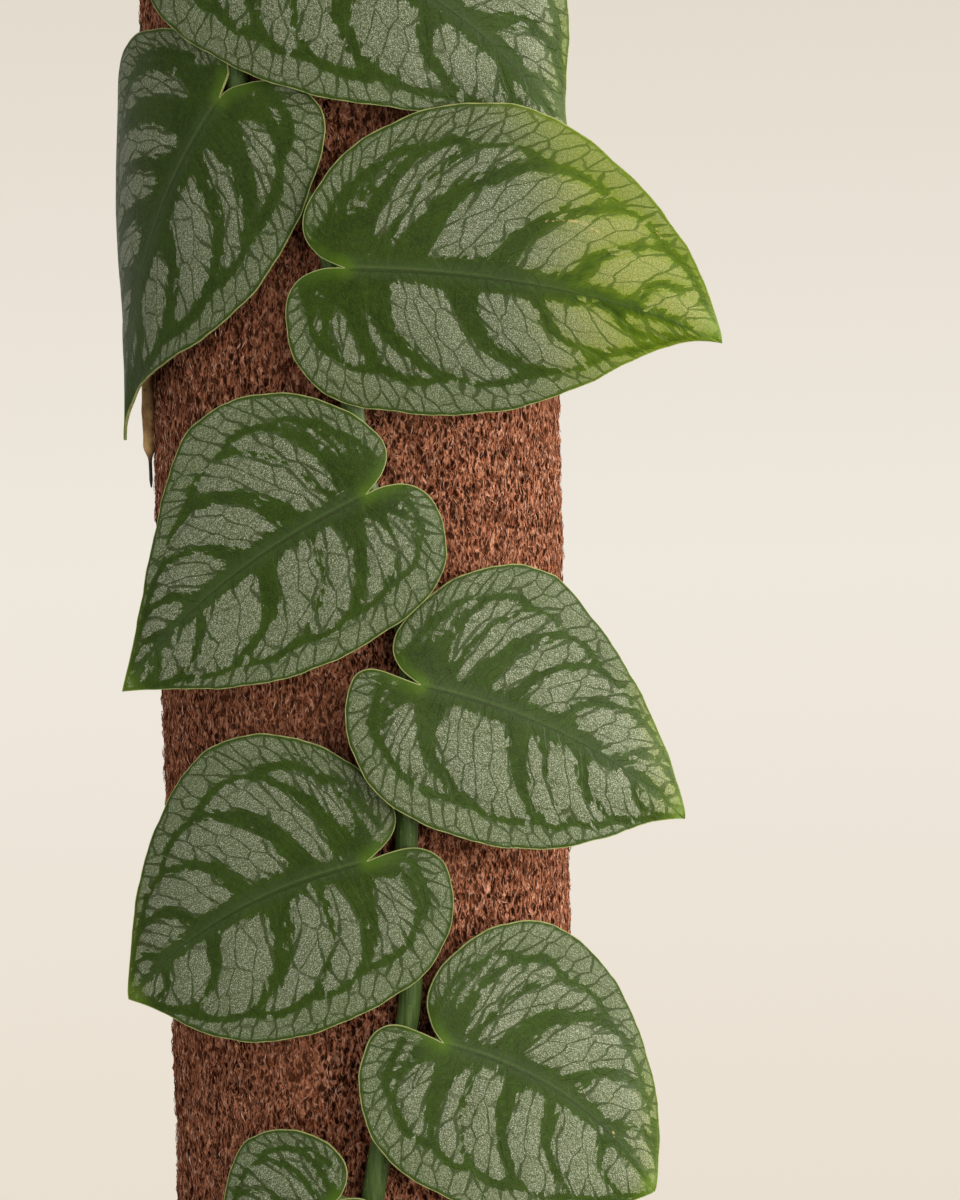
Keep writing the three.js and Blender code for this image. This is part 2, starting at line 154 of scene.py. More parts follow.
TAIL_THINNING = 0.72
TAIL_STARTS = (0.915, 0.945)
TAIL_ENDS = (0.985, 1.0)

# Leaves
BLADE = 0.36
CAMBER = 0.8
CAMBER_FADE = 7
STALK_RADIUS = 1
STALK_RISE = 7
STALK_END = 0.95
STALK_CLASP = 0.25
FULL_STALK_LENGTH = 40
STALK_STEPS = 20
STALK_SIDES = 14
OUTLINE_STEPS = 700
NOTCH_ANGLE = math.radians(8)
NOTCH_REACH = 0.5
LOBE_LOW = 0.45
LOBE_ROUND = 0.55
LOBE_SOFTENING = 0.05
LOBE_ENDS = (0.3, 0.42)
TIP_REACH = 0.3
TYPICAL_LENGTH = 50
# Uneven margin: height and length of each wave that runs along the outline of a leaf of typical length
MARGIN_WAVES = ((0.07, 10.3), (0.045, 5.9), (0.02, 2.7))
WAVES_START = (0.06, 0.2)
WAVES_END = (0.98, 0.88)
# Relief of a blade: how far it rises between the dark bands, dips along them, waves at its margin and
# swells in between, over stretches of what size, and how far its rim stands out
QUILT_RISE = 0.2
QUILT_DIP = 0.08
EDGE_WAVE = 0.3
SWELL = 0.5
SWELL_SIZE = 8
RIM_PROUD = 0.12
# Dark bands of a leaf of typical length: half-width of the midrib's band at its start and what it gains,
# of a side vein's at its root, all along and what it loses to its end, of the looping vein's and its
# swing, how far bands web where they meet, and how far the dark grows round the notch and by its rim
MIDRIB_WIDTH = (1.1, 1.5)
VEIN_WIDTH = (0.85, 0.4, 0.1)
LOOP_WIDTH = (0.46, 0.1)
BAND_WEBBING = 0.42
DARK_HEART = 1.1
DARK_LOBES = 1.2
# Over what share of the length the painted yellow-green glow of light shining through a blade comes in,
# and how far it runs ahead by the upper margin and lags behind by the lower one
GLOW_SPAN = 0.35
GLOW_AHEAD = 0.22
GLOW_BEHIND = 0.12
# Steps of the patterns from one blade to the next, so that no two are alike: square to the blade's own
# plane, then along and across its veins, and from one half to the other
PATTERN_STEP = 37
LAMINA_STEPS = (41, 23)
HALVES_STEP = 300
FAN_SHARE = 0.3
VEIN_CROWDING = 1.8
VEIN_ARCH = 0.12
ARCH_STARTS = 0.1
ARCH_FULL = 0.45
FORM_CHANGE = 0.08
FORM_SEED = 7
TYPICAL_SHINGLE = 5.5
TYPICAL_BOW = 0.07


def half(back, shoulder, waist, width, fullness, tip):
    """One half of a leaf's outline, in the terms that half_outline explains."""
    return {"back": back, "shoulder": shoulder, "waist": waist, "width": width,
            "fullness": fullness, "tip": tip}


def leaf(name, side, azimuth, height, wrap, lift, shingle, length, bow, droop, upper, lower):
    """One leaf: where its stalk meets the blade, the round it lies on, and its outline."""
    return {"name": name, "side": side, "azimuth": azimuth, "height": height, "wrap": wrap,
            "lift": lift, "shingle": shingle, "length": length, "bow": bow, "droop": droop,
            "upper": upper, "lower": lower}


SEEN_LEAVES = [
    leaf("leaf_06", -1, -8.5, 246.5, 45, 5.6, 5.5, 23.5, 2, 30,
         half(4, 4, 8, 14, 0.25, 40), half(4.5, 3.5, 4.5, 12.5, 0.75, 50)),
    leaf("leaf_07", 1, 17.5, 269, 80, 5.6, 5.5, 42, 4, 38,
         half(6.5, 6.5, 9.5, 24, 0.55, 85), half(9.5, 3.5, 6.5, 18.5, 0.45, 55)),
    leaf("leaf_08", -1, 1, 296, 55, 6, 5.5, 42, 3.5, 30,
         half(7.5, 2.5, 13, 25.5, 0.4, 75), half(9.5, 5, 5, 18.5, 0.75, 40)),
    leaf("leaf_09", 1, 14, 321, 80, 6.2, 5.5, 48, 3, 29,
         half(6.5, 2.5, 13, 23, 0.1, 75), half(9.5, 1.5, 7, 17.5, 0.6, 20)),
    leaf("leaf_10", -1, 3, 348.5, 55, 6.4, 5.5, 46, 3, 38,
         half(7, 2.5, 13.5, 23.5, 0.25, 40), half(7, 5.5, 4, 17, 0.55, 30)),
    leaf("leaf_11", 1, -0.5, 380.5, 100, 7, -5, 58.5, 3, 13,
         half(7.5, 3, 20, 27, 0.3, 75), half(7.5, 4.5, 3.5, 19, 0.65, 0)),
    leaf("leaf_12", -1, -30, 404.5, 34.6, 4.6, 0, 58, 3, 60,
         half(6.5, 1.5, 15.5, 26, 0.4, 45), half(7.5, 12.5, 13, 18.5, 0.5, -15)),
    leaf("leaf_13", 1, -19.5, 428.5, 45, 6.4, 0, 58, 6, 35,
         half(8, 6, 26, 26, 0.75, 30), half(15, 10, -5, 19.5, 0.5, 0)),
]
TYPICAL_UPPER = half(0.16, 0.08, 0.28, 0.52, 0.32, 65)
TYPICAL_LOWER = half(0.19, 0.09, 0.12, 0.4, 0.6, 30)
# name, side, azimuth, height, wrap, lift, length, droop
OTHER_LEAVES = [
    ("leaf_01", 1, 10, 147, 45, 5.4, 15.5, 32),
    ("leaf_02", -1, -5, 165.5, 45, 5.4, 17, 30),
    ("leaf_03", 1, 7, 184.5, 46, 5.5, 18.5, 34),
    ("leaf_04", -1, -13, 204.5, 45, 5.5, 20, 33),
    ("leaf_05", 1, 4, 225, 48, 5.5, 22, 36),
    ("leaf_14", -1, -24, 458, 42, 7.4, 48, 30),
    ("leaf_15", 1, 0, 480, 60, 7, 43, 32),
    ("leaf_16", -1, -12, 500, 50, 6.4, 34, 28),
    ("leaf_17", 1, -3, 515, 50, 6, 23, 24),
]

# The dark side veins of each half: the share of its outline, from notch to tip, that each runs to, and
# how strong it is. bands is the width of the dark bands against the usual one, then comes how strong the
# painted glow of light shining through the backlit blade is and from which share of the length on, and
# silver how much the silver gains on them.
TYPICAL_VEINS = {
    "upper": ((0.24, 0.8), (0.42, 1.3), (0.58, 1.2), (0.72, 0.9), (0.83, 0.7), (0.92, 0.5)),
    "lower": ((0.23, 0.8), (0.46, 1.3), (0.66, 1.1), (0.8, 0.8), (0.91, 0.5)),
    "bands": 1, "ripe": (0.2, 0.85), "silver": 0}
VEINS = {
    "leaf_06": {
        "upper": ((0.34, 0.8), (0.48, 0.5), (0.64, 0.7), (0.8, 0.5)),
        "lower": ((0.25, 0.7), (0.47, 0.9), (0.7, 0.8), (0.86, 0.5)),
        "bands": 1.1, "ripe": (0.1, 0.9), "silver": -0.15},
    "leaf_07": {
        "upper": ((0.22, 0.7), (0.36, 0.9), (0.47, 0.4), (0.585, 1.5), (0.755, 1.0), (0.88, 0.6)),
        "lower": ((0.27, 0.9), (0.46, 1.5), (0.54, 0.4), (0.645, 1.4), (0.75, 0.9), (0.87, 0.6)),
        "bands": 1.3, "ripe": (0.4, 0.72), "silver": 0},
    "leaf_08": {
        "upper": ((0.26, 0.5), (0.43, 1.2), (0.57, 1.4), (0.715, 1.1), (0.83, 0.8), (0.92, 0.6)),
        "lower": ((0.22, 0.9), (0.47, 1.5), (0.57, 0.4), (0.68, 1.4), (0.82, 0.9), (0.92, 0.6)),
        "bands": 1.3, "ripe": (0.5, 0.88), "silver": 0},
    "leaf_09": {
        "upper": ((0.22, 0.5), (0.35, 1.3), (0.45, 0.4), (0.54, 1.5), (0.63, 0.8), (0.735, 0.9),
                  (0.87, 0.7)),
        "lower": ((0.24, 0.8), (0.45, 1.4), (0.67, 1.5), (0.725, 0.4), (0.8, 0.9), (0.9, 0.7)),
        "bands": 1.15, "ripe": (0.5, 0.68), "silver": 0.05},
    "leaf_10": {
        "upper": ((0.22, 0.9), (0.3, 0.4), (0.38, 1.5), (0.48, 0.35), (0.6, 1.6), (0.73, 1.0),
                  (0.83, 0.8), (0.91, 0.6)),
        "lower": ((0.22, 0.9), (0.36, 0.35), (0.48, 1.6), (0.58, 0.35), (0.7, 1.5), (0.84, 0.7),
                  (0.93, 0.6)),
        "bands": 1, "ripe": (0.5, 0.88), "silver": 0},
    "leaf_11": {
        "upper": ((0.21, 0.9), (0.3, 0.4), (0.37, 1.2), (0.46, 0.4), (0.53, 1.7), (0.685, 1.3),
                  (0.79, 0.9), (0.88, 0.7)),
        "lower": ((0.16, 0.4), (0.24, 1.1), (0.39, 1.4), (0.46, 1.3), (0.63, 1.5), (0.75, 0.9),
                  (0.86, 0.7)),
        "bands": 1, "ripe": (0.95, 0.36), "silver": 0.05},
    "leaf_12": {
        "upper": ((0.3, 1.1), (0.48, 1.9), (0.6, 0.8), (0.69, 1.3), (0.79, 1.1), (0.89, 0.7)),
        "lower": ((0.24, 1.1), (0.45, 1.8), (0.555, 1.0), (0.7, 1.3), (0.83, 0.9)),
        "bands": 1.05, "ripe": (0.2, 0.9), "silver": -0.2},
    "leaf_13": {
        "upper": ((0.25, 1.0), (0.4, 1.2), (0.55, 1.2), (0.7, 1.0), (0.82, 0.8), (0.91, 0.6)),
        "lower": ((0.27, 0.9), (0.37, 0.4), (0.47, 1.2), (0.55, 0.4), (0.63, 1.2), (0.76, 0.9),
                  (0.88, 0.6)),
        "bands": 1.05, "ripe": (0.4, 0.72), "silver": -0.15},
}
# Dry flecks in a blade's own plane, each a line of places along and across it
FLECKS = {
    "leaf_11": [[(26, 11.6), (29, 12.6), (32, 12.8), (35, 11.8)], [(43.6, 14), (44.8, 12.8)]],
    "leaf_07": [[(30.9, 10.7), (31.7, 10.1)], [(27.5, 7.6), (27.9, 7)], [(30.5, 3.7), (31.1, 3.1)]],
}
FLECK_HALF_WIDTH = 0.16
NO_FLECK = 99.0
# How far out of the blade, from midrib to margin, the looping vein that joins the side veins runs
LOOP_ALONG = (0.08, 0.3, 0.6, 0.8, 1)
LOOP_ACROSS = (0.52, 0.64, 0.74, 0.8, 0.86)
LOOP_BULGE = 0.05
SEEN_GRID = (112, 42)
OTHER_GRID = (64, 24)
GLINT_SIZE = (0.22, 0.22, 1)
LEAF_GLOW = (0.6, 1.0, 0.15)

# Rolled new leaf, and how round it is along its length
NEW_LEAF = {"azimuth": -6, "bottom": 520.5, "length": 22, "radius": 2.1, "lift": 2.8, "lean": 1.5}
NEW_LEAF_ALONG = (0, 0.04, 0.2, 0.35, 0.55, 0.75, 0.9, 1)
NEW_LEAF_ROUND = (0, 0.55, 0.9, 1, 0.9, 0.6, 0.3, 0)

# Camera, as the photograph was taken: a long lens a little above, turned slightly anticlockwise
PHOTO_LENS = 162
CAMERA_DISTANCE = 0.8
CAMERA_PITCH = math.radians(7)
CAMERA_ROLL = math.radians(1.41)
CAMERA_SIDE = 0.01757
CAMERA_HEIGHT = 0.329

# Studio: each lamp's name, azimuth, elevation, distance, size, watts and colour
WARM = (1.0, 0.965, 0.91)
LAMPS = (
    ("key", 36, 14, 1.3, 1.1, 17.5, WARM),
    ("side", 98, 12, 1.9, 1.0, 48, WARM),
    ("fill", -45, 10, 1.6, 1.2, 6, (0.97, 0.98, 1.0)),
)
BACKDROP_FOOT = -0.24
FLOOR_RADIUS = 900
FLOOR_SIDES = 96
FLOOR_FADE = (0.3, 0.85)


def smoothstep(value, low, high):
    """0 below low, 1 above high, and an S-curve between them."""
    share = np.clip((value - low) / (high - low), 0, 1)
    return share * share * (3 - 2 * share)


def on_pole(azimuth, height, distance):
    """Points at azimuths in radians, heights and distances from the pole's axis."""
    azimuth, height, distance = np.broadcast_arrays(azimuth, height, distance)
    return np.stack([distance * np.sin(azimuth), -distance * np.cos(azimuth), height], -1)


def seeded_draws(seed, count):
    """count numbers from 0 to 1: each state is 16807 times the last one, modulo 2147483647."""
    draws = []
    state = seed
    for _ in range(count):
        state = state * 16807 % 2147483647
        draws.append(state / 2147483647)
    return draws


def scramble(whole, seed):
    """A random number from 0 to 1 for each row of three whole numbers, the same on each run."""
    mixed = whole[..., 0] * 73856093 ^ whole[..., 1] * 19349663 ^ whole[..., 2] * 83492791
    mixed = (mixed ^ (seed * 15485863)) * 1274126177
    mixed = (mixed ^ (mixed >> 15)) * 668265263
    return ((mixed ^ (mixed >> 13)) & 0xFFFFFF) / 0xFFFFFF


def cloud(points, sizes, seed):
    """Smooth random field from 0 to 1: a random number at each corner of boxes of these sizes, and an
    S-curve blend of the eight corners inside each box."""
    cell = points / np.asarray(sizes, float)
    low = np.floor(cell).astype(np.int64)
    part = smoothstep(cell - low, 0, 1)
    total = 0
    for corner in np.ndindex(2, 2, 2):
        weight = np.prod(np.where(corner, part, 1 - part), axis=-1)
        total = total + weight * scramble(low + corner, seed)
    return total


def lumps(points, height, sizes, seed):
    """Smooth random lumps and hollows, from height / 2 down to -height / 2."""
    return height * (cloud(points, sizes, seed) - 0.5)


def smooth_path(points, steps):
    """Centripetal Catmull-Rom curve through points: between two of them it is the cubic whose end
    slopes come from the neighbours, with time running as the square root of distance."""
    points = np.asarray(points, float)
    ends = np.concatenate([[2 * points[0] - points[1]], points, [2 * points[-1] - points[-2]]])
    before, start, end, after = ends[:-3], ends[1:-2], ends[2:-1], ends[3:]
    first, span, last = (np.sqrt(np.linalg.norm(b - a, axis=1))[:, None]
                         for a, b in ((before, start), (start, end), (end, after)))
    leave = span * ((start - before) / first - (end - before) / (first + span) + (end - start) / span)
    reach = span * ((end - start) / span - (after - start) / (span + last) + (after - end) / last)
    share = np.linspace(0, 1, steps, endpoint=False)[None, :, None]
    start, end, leave, reach = (row[:, None, :] for row in (start, end, leave, reach))
    curve = (start + leave * share + (3 * end - 3 * start - 2 * leave - reach) * share ** 2
             + (2 * start - 2 * end + leave + reach) * share ** 3)
    return np.concatenate([curve.reshape(-1, 3), points[-1:]])


def arc(start, middle, end, share):
    """Quadratic arc from start to end, drawn towards middle, at shares of the way."""
    return (1 - share) ** 2 * start + 2 * (1 - share) * share * middle + share ** 2 * end


def even_path(path, steps):
    """The same path with steps + 1 points at equal distances along it."""
    run = np.concatenate([[0], np.cumsum(np.linalg.norm(np.diff(path, axis=0), axis=1))])
    stops = np.linspace(0, run[-1], steps + 1)
    return np.stack([np.interp(stops, run, path[:, k]) for k in range(path.shape[1])], 1)


def grid_triangles(rows, columns, first=0, closed=False):
    """Two triangles for each cell of a grid of rows by columns points, numbered row by row."""
    number = first + np.arange(rows * columns).reshape(rows, columns)
    if closed:
        number = np.concatenate([number, number[:, :1]], axis=1)
    near, far = number[:-1, :-1].ravel(), number[1:, :-1].ravel()
    near_next, far_next = number[:-1, 1:].ravel(), number[1:, 1:].ravel()
    return np.concatenate([np.stack([near, far, far_next], 1),
                           np.stack([near, far_next, near_next], 1)])


def copies(faces, corners, count):
    """Triangles of count copies of a small shape, whose points follow each other."""
    return (faces + corners * np.arange(count)[:, None, None]).reshape(-1, 3)


def joined(meshes):
    """Several meshes of points and triangles as one."""
    starts = np.cumsum([0, *[len(points) for points, _ in meshes[:-1]]])
    triangles = [part + first for (_, part), first in zip(meshes, starts)]
    return np.concatenate([points for points, _ in meshes]), np.concatenate(triangles)


def strip_triangles(one, other):
    """Triangles between two rows of point numbers of equal length."""
    return np.concatenate([np.stack([one[:-1], one[1:], other[1:]], 1),
                           np.stack([one[:-1], other[1:], other[:-1]], 1)])


def outward(points, triangles):
    """The triangles, all turned over if the volume that they close is negative."""
    a, b, c = points[triangles[:, 0]], points[triangles[:, 1]], points[triangles[:, 2]]
    volume = np.einsum("ij,ij->", a, np.cross(b, c))
    return triangles if volume > 0 else triangles[:, ::-1]


def placed(name, data):
    """A new object with this data, in the scene."""
    thing = bpy.data.objects.new(name, data)
    bpy.context.scene.collection.objects.link(thing)
    return thing


def new_piece(name, points, triangles, materials, slot, replaced=(), paints=None, finish=None,
              sharp=60):
    """A mesh object at the origin: points that share a place are made one, triangles that shrank to
    a line go, and each paint becomes a point attribute. finish gives each triangle's material."""
    _, kept, where = np.unique(np.round(points, 4), axis=0, return_index=True, return_inverse=True)
    triangles = where.ravel()[triangles]
    a, b, c = triangles.T
    whole = (a != b) & (b != c) & (c != a)
    triangles = triangles[whole]
    mesh = bpy.data.meshes.new(name)
    mesh.vertices.add(len(kept))
    mesh.vertices.foreach_set("co", (points[kept] * MM).astype(np.float32).ravel())
    mesh.loops.add(triangles.size)
    mesh.loops.foreach_set("vertex_index", triangles.astype(np.int32).ravel())
    mesh.polygons.add(len(triangles))
    mesh.polygons.foreach_set("loop_start", np.arange(0, triangles.size, 3, dtype=np.int32))
    for material in materials:
        mesh.materials.append(material)
    if finish is not None:
        mesh.polygons.foreach_set("material_index", finish[whole].astype(np.int32))
    mesh.update(calc_edges=True)
    for title, values in (paints or {}).items():
        kind, field = ("FLOAT", "value") if values.ndim == 1 else ("FLOAT_VECTOR", "vector")
        layer = mesh.attributes.new(title, kind, "POINT")
        layer.data.foreach_set(field, values[kept].astype(np.float32).ravel())
    mesh.shade_smooth()
    mesh.set_sharp_from_angle(angle=math.radians(sharp))
    piece = placed(name, mesh)
    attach(piece, "root")
    if replaced:
        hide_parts(*replaced)
    return piece


def tube(path, radius, sides, out=None):
    """Round tube along a path of points: at each, a ring of the given radius in the plane across the
    path, its first direction as far from the pole's axis as it can be, and both ends closed."""
    heading = np.gradient(path, axis=0)
    heading = heading / np.linalg.norm(heading, axis=1)[:, None]
    away = path * [1, 1, 0] if out is None else np.broadcast_to(out, path.shape)
    away = away - heading * np.einsum("ij,ij->i", away, heading)[:, None]
    away = away / np.linalg.norm(away, axis=1)[:, None]
    beside = np.cross(heading, away)
    turn = np.linspace(0, 2 * math.pi, sides, endpoint=False)[None, :, None]
    radius = np.broadcast_to(radius, (len(path),))[:, None, None]
    rings = path[:, None] + radius * (np.cos(turn) * away[:, None] + np.sin(turn) * beside[:, None])
    points = np.concatenate([rings.reshape(-1, 3), path[:1], path[-1:]])
    rows = len(path)
    ring = np.append(np.arange(sides), 0)
    start = np.stack([np.full(sides, rows * sides), ring[:-1], ring[1:]], 1)
    last = (rows - 1) * sides
    end = np.stack([np.full(sides, rows * sides + 1), last + ring[1:], last + ring[:-1]], 1)
    triangles = np.concatenate([grid_triangles(rows, sides, closed=True), start, end])
    return points, outward(points, triangles)


def turned(profile, sides):
    """Closed solid of revolution about +Z from rows of radius and height that form a loop."""
    profile = np.asarray(profile, float)
    turn = np.linspace(0, 2 * math.pi, sides, endpoint=False)
    radius, height = profile[:, :1], profile[:, 1:]
    points = np.stack([radius * np.cos(turn), radius * np.sin(turn), height + 0 * turn], -1)
    return points.reshape(-1, 3), grid_triangles(len(profile), sides, closed=True)


def rounded(corners, radius):
    """A profile with each corner cut by a quadratic arc that starts and ends radius away from it, or
    at a third of a shorter side. The first and last points stay."""
    corners = np.asarray(corners, float)
    points = [corners[:1]]
    share = np.linspace(0, 1, ROUNDING_STEPS)[:, None]
    for before, corner, after in zip(corners[:-2], corners[1:-1], corners[2:]):
        back, ahead = before - corner, after - corner
        start = corner + back * min(radius / np.linalg.norm(back), 1 / 3)
        end = corner + ahead * min(radius / np.linalg.norm(ahead), 1 / 3)
        points.append(arc(start, corner, end, share))
    points.append(corners[-1:])
    return np.concatenate(points)


def paint(red, green, blue):
    """A colour given as it shows on a screen, from 0 to 255, in the linear values of the shader."""
    shown = np.array([red, green, blue]) / 255
    linear = np.where(shown <= 0.04045, shown / 12.92, ((shown + 0.055) / 1.055) ** 2.4)
    return (*linear.tolist(), 1.0)


def triple(size):
    """One size as three equal ones. Three sizes stay as they are."""
    return size if isinstance(size, tuple) else (size, size, size)


class Nodes:
    """A tree of nodes. A method that adds a node gives back one of its outputs."""

    def __init__(self, tree):
        self.tree = tree

    def feed(self, socket, value):
        if isinstance(value, bpy.types.NodeSocket):
            self.tree.links.new(value, socket)
        else:
            socket.default_value = value

    def add(self, kind, inputs, output=0, **settings):
        made = self.tree.nodes.new(kind)
        for name, value in settings.items():
            setattr(made, name, value)
        for key, value in inputs.items():
            self.feed(made.inputs[key], value)
        return made.outputs[output]


class Recipe(Nodes):
    """The nodes of one material. A colour may be three numbers, as paint takes them."""

    def __init__(self, name):
        self.material = bpy.data.materials.new(name)
        self.material.use_nodes = True
        super().__init__(self.material.node_tree)
        self.shader = self.tree.nodes["Principled BSDF"]

    def finish(self, **inputs):
        """Feeds the shader's own sockets, with _ for a space in a socket's name."""
        for name, value in inputs.items():
            self.feed(self.shader.inputs[name.replace("_", " ")], value)
        return self.material

    def place(self):
        return self.add("ShaderNodeTexCoord", {}, "Object")

    def layer(self, name, output="Fac"):
        return self.add("ShaderNodeAttribute", {}, output, attribute_name=name)

    def math(self, operation, a, b=0.0):
        return self.add("ShaderNodeMath", {0: a, 1: b}, operation=operation)

    def plus(self, total, *others):
        for other in others:
            total = self.math("ADD", total, other)
        return total

    def times(self, product, *others):
        for other in others:
            product = self.math("MULTIPLY", product, other)
        return product

    def vector(self, operation, a, b=(0, 0, 0), output="Vector"):
        return self.add("ShaderNodeVectorMath", {0: a, 1: b}, output, operation=operation)

    def over(self, vector, sizes):
        """The vector divided by the sizes, so that a pattern repeats at about those sizes."""
        return self.vector("DIVIDE", vector, triple(sizes))

    def noise(self, vector, sizes, detail=2.0, roughness=0.5, output="Fac"):
        return self.add("ShaderNodeTexNoise", {"Vector": self.over(vector, sizes), "Scale": 1.0,
                                               "Detail": detail, "Roughness": roughness}, output)

    def swing(self, vector, sizes, reach, detail=2.0):
        """Noise that swings round 0, to about reach on either side."""
        return self.times(self.plus(self.noise(vector, sizes, detail), -0.5), 2.5 * reach)

    def warped(self, vector, sizes, reach):
        """The vector moved by a colour noise, to about reach on either side."""
        colour = self.noise(vector, sizes, 1.0, output="Color")
        centred = self.vector("SUBTRACT", colour, triple(0.5))
        return self.vector("ADD", vector, self.vector("MULTIPLY", centred, triple(2.5 * reach)))

    def cells(self, cell, output, feature="F1", randomness=1.0, flat=True):
        """Random cells, one to each unit of the vector cell."""
        return self.add("ShaderNodeTexVoronoi", {"Vector": cell, "Scale": 1.0, "Randomness": randomness},
                        output, feature=feature, voronoi_dimensions="2D" if flat else "3D")

    def cell_draw(self, vector, sizes):
        """A random number from 0 to 1 for each small cell."""
        return self.add("ShaderNodeSeparateColor", {0: self.cells(self.over(vector, sizes), "Color")})

    def net_gap(self, vector, sizes, spread=1.0, randomness=1.0):
        """Distance in the vector's own units to the nearest edge of a net of stretched cells, so that
        the net's lines keep one width. The edge is the line half way between the two nearest cell
        centres, and spread is how much the first direction is squeezed there. The second output is
        1 where an edge runs along the second direction, and 0 where it runs across it."""
        cell = self.over(vector, sizes)
        one, other = (self.cells(cell, "Position", feature, randomness) for feature in ("F1", "F2"))
        between = self.vector("SUBTRACT", other, one)
        middle = self.vector("MULTIPLY", self.vector("ADD", other, one), triple(0.5))
        rise = self.vector("DOT_PRODUCT", self.vector("SUBTRACT", middle, cell), between, "Value")
        width, height, _ = sizes
        squeezed = self.add("ShaderNodeCombineXYZ", {0: self.times(spread, width), 1: height, 2: 1.0})
        slope = self.vector("DIVIDE", between, squeezed)
        steep = self.vector("LENGTH", slope, output="Value")
        aside = self.math("ABSOLUTE", self.add("ShaderNodeSeparateXYZ", {0: slope}))
        return self.math("DIVIDE", rise, steep), self.math("DIVIDE", aside, steep)

    def ramp(self, value, low, high, start=0.0, end=1.0):
        """start below low, end above high, and an S-curve between them."""
        return self.add("ShaderNodeMapRange",
                        {"Value": value, "From Min": low, "From Max": high, "To Min": start,
                         "To Max": end}, "Result", interpolation_type="SMOOTHSTEP")

    def number(self, share, a, b):
        return self.add("ShaderNodeMix", {0: share, 2: a, 3: b}, 0, data_type="FLOAT")

    def blend(self, share, *colours):
        under, over = (paint(*colour) if isinstance(colour, tuple) else colour for colour in colours)
        return self.add("ShaderNodeMix", {0: share, 6: under, 7: over}, 2, data_type="RGBA")

    def coats(self, colour, *coats):
        """A colour under several coats, each a share and a colour of its own, the last on top."""
        for share, coat in coats:
            colour = self.blend(share, colour, coat)
        return colour

    def bump(self, height, depth, strength):
        return self.add("ShaderNodeBump", {"Height": height, "Distance": depth, "Strength": strength},
                        "Normal")


def torn_edge(mix, flat, lamina, spread, outer):
    """Distance from the edge of the dark bands into the silver. Areoles and smaller specks, drawn out
    along the veins but for where these crowd, shift the edge, less so by the looping vein, and a few
    areoles become islands."""
    torn = mix.warped(lamina, (0.8, 1.6, 1.0), 0.25)
    torn_flat = mix.warped(flat, (0.8, 0.8, 1.0), 0.25)
    is_open = mix.ramp(spread, 0.4, 0.75)
    areole, speck = (
        mix.number(is_open, mix.cell_draw(torn_flat, crowded), mix.cell_draw(torn, drawn_out))
        for crowded, drawn_out in ((0.9, (0.7, 1.5, 1)), (0.5, (0.4, 0.9, 1))))
    ragged = mix.plus(mix.times(mix.plus(areole, -0.5), 0.6), mix.times(mix.plus(speck, -0.5), 0.36))
    ragged = mix.times(ragged, mix.ramp(mix.math("ABSOLUTE", outer), 0.3, 1.6, 0.45, 1.0))
    ragged = mix.plus(ragged, mix.swing(flat, 4.0, 0.3, 1.0))
    return mix.plus(mix.layer("vein_gap"), ragged, mix.ramp(areole, 0.965, 0.97, 0.0, 0.8))


def vein_net(mix, flat, lamina, spread, edge, in_outer):
    """Share of the net of veins between the bands: broad lines at the torn edge, slim ones further
    out, fainter where they run across the side veins, and none where the side veins crowd."""
    drift = mix.warped(mix.warped(lamina, (3.0, 5.0, 3.0), 0.5), (0.9, 1.3, 1.0), 0.2)
    inner_net, inner_run = mix.net_gap(drift, (3.0, 4.8, 1), spread, 0.9)
    outer_net, outer_run = mix.net_gap(drift, (2.6, 3.8, 1), spread, 0.9)
    net = mix.number(in_outer, inner_net, outer_net)
    run = mix.number(in_outer, inner_run, outer_run)
    broad = mix.ramp(edge, 0.0, 1.5, 0.3, mix.number(in_outer, 0.06, 0.11))
    broad = mix.plus(broad, mix.swing(flat, 1.5, 0.08))
    line = mix.ramp(mix.math("SUBTRACT", net, broad), -0.06, 0.16, 1.0, 0.0)
    line = mix.times(line, mix.ramp(run, 0.35, 0.85, mix.number(in_outer, 0.5, 0.7), 1.0))
    return mix.times(line, mix.ramp(spread, 0.15, 0.4))


def sparkle(mix, flat):
    """Share of painted glint: a bright spot of reflected light at the middle of each very small cell,
    bright in some and dim in others.
    """
    spot = mix.ramp(mix.cells(mix.over(flat, GLINT_SIZE), "Distance"), 0.08, 0.38, 1.0, 0.0)
    return mix.times(spot, mix.ramp(mix.cell_draw(flat, GLINT_SIZE), 0.3, 0.85))


def band_colour(mix, flat, edge, ripe, grain, patch, glint):
    """Dark bands: deep green, mottled and grained, with painted glints, a painted grey sheen by the
    midrib, and a painted yellow-green glow of light shining through along their edges where the blade
    is backlit."""
    mottle = mix.noise(flat, 0.8, 3.0, 0.7)
    return mix.coats(
        mix.blend(patch, (28, 42, 2), (38, 55, 6)),
        (mix.ramp(mottle, 0.42, 0.7, 0.0, 0.5), (46, 72, 4)),
        (mix.ramp(grain, 0.36, 0.64, 0.0, 0.3), (58, 74, 24)),
        # Painted glints, fainter on the dark bands
        (mix.times(glint, 0.35), (88, 104, 60)),
        # Painted sheen: the key light's grey reflection by the midrib
        (mix.ramp(mix.layer("midrib_gap"), 0.3, 2.6, 0.34, 0.0), (60, 74, 44)),
        (mix.ramp(edge, -0.7, 0.1, 0.0, 0.3), (54, 72, 20)),
        # Painted glow of light shining through the backlit blade: yellow-green, with a brighter halo
        # along the bands' edges
        (ripe, mix.blend(patch, (42, 62, 0), (54, 76, 0))),
        (mix.times(mix.ramp(edge, -1.0, 0.0, 0.0, 0.5), ripe), (92, 112, 8)),
    )


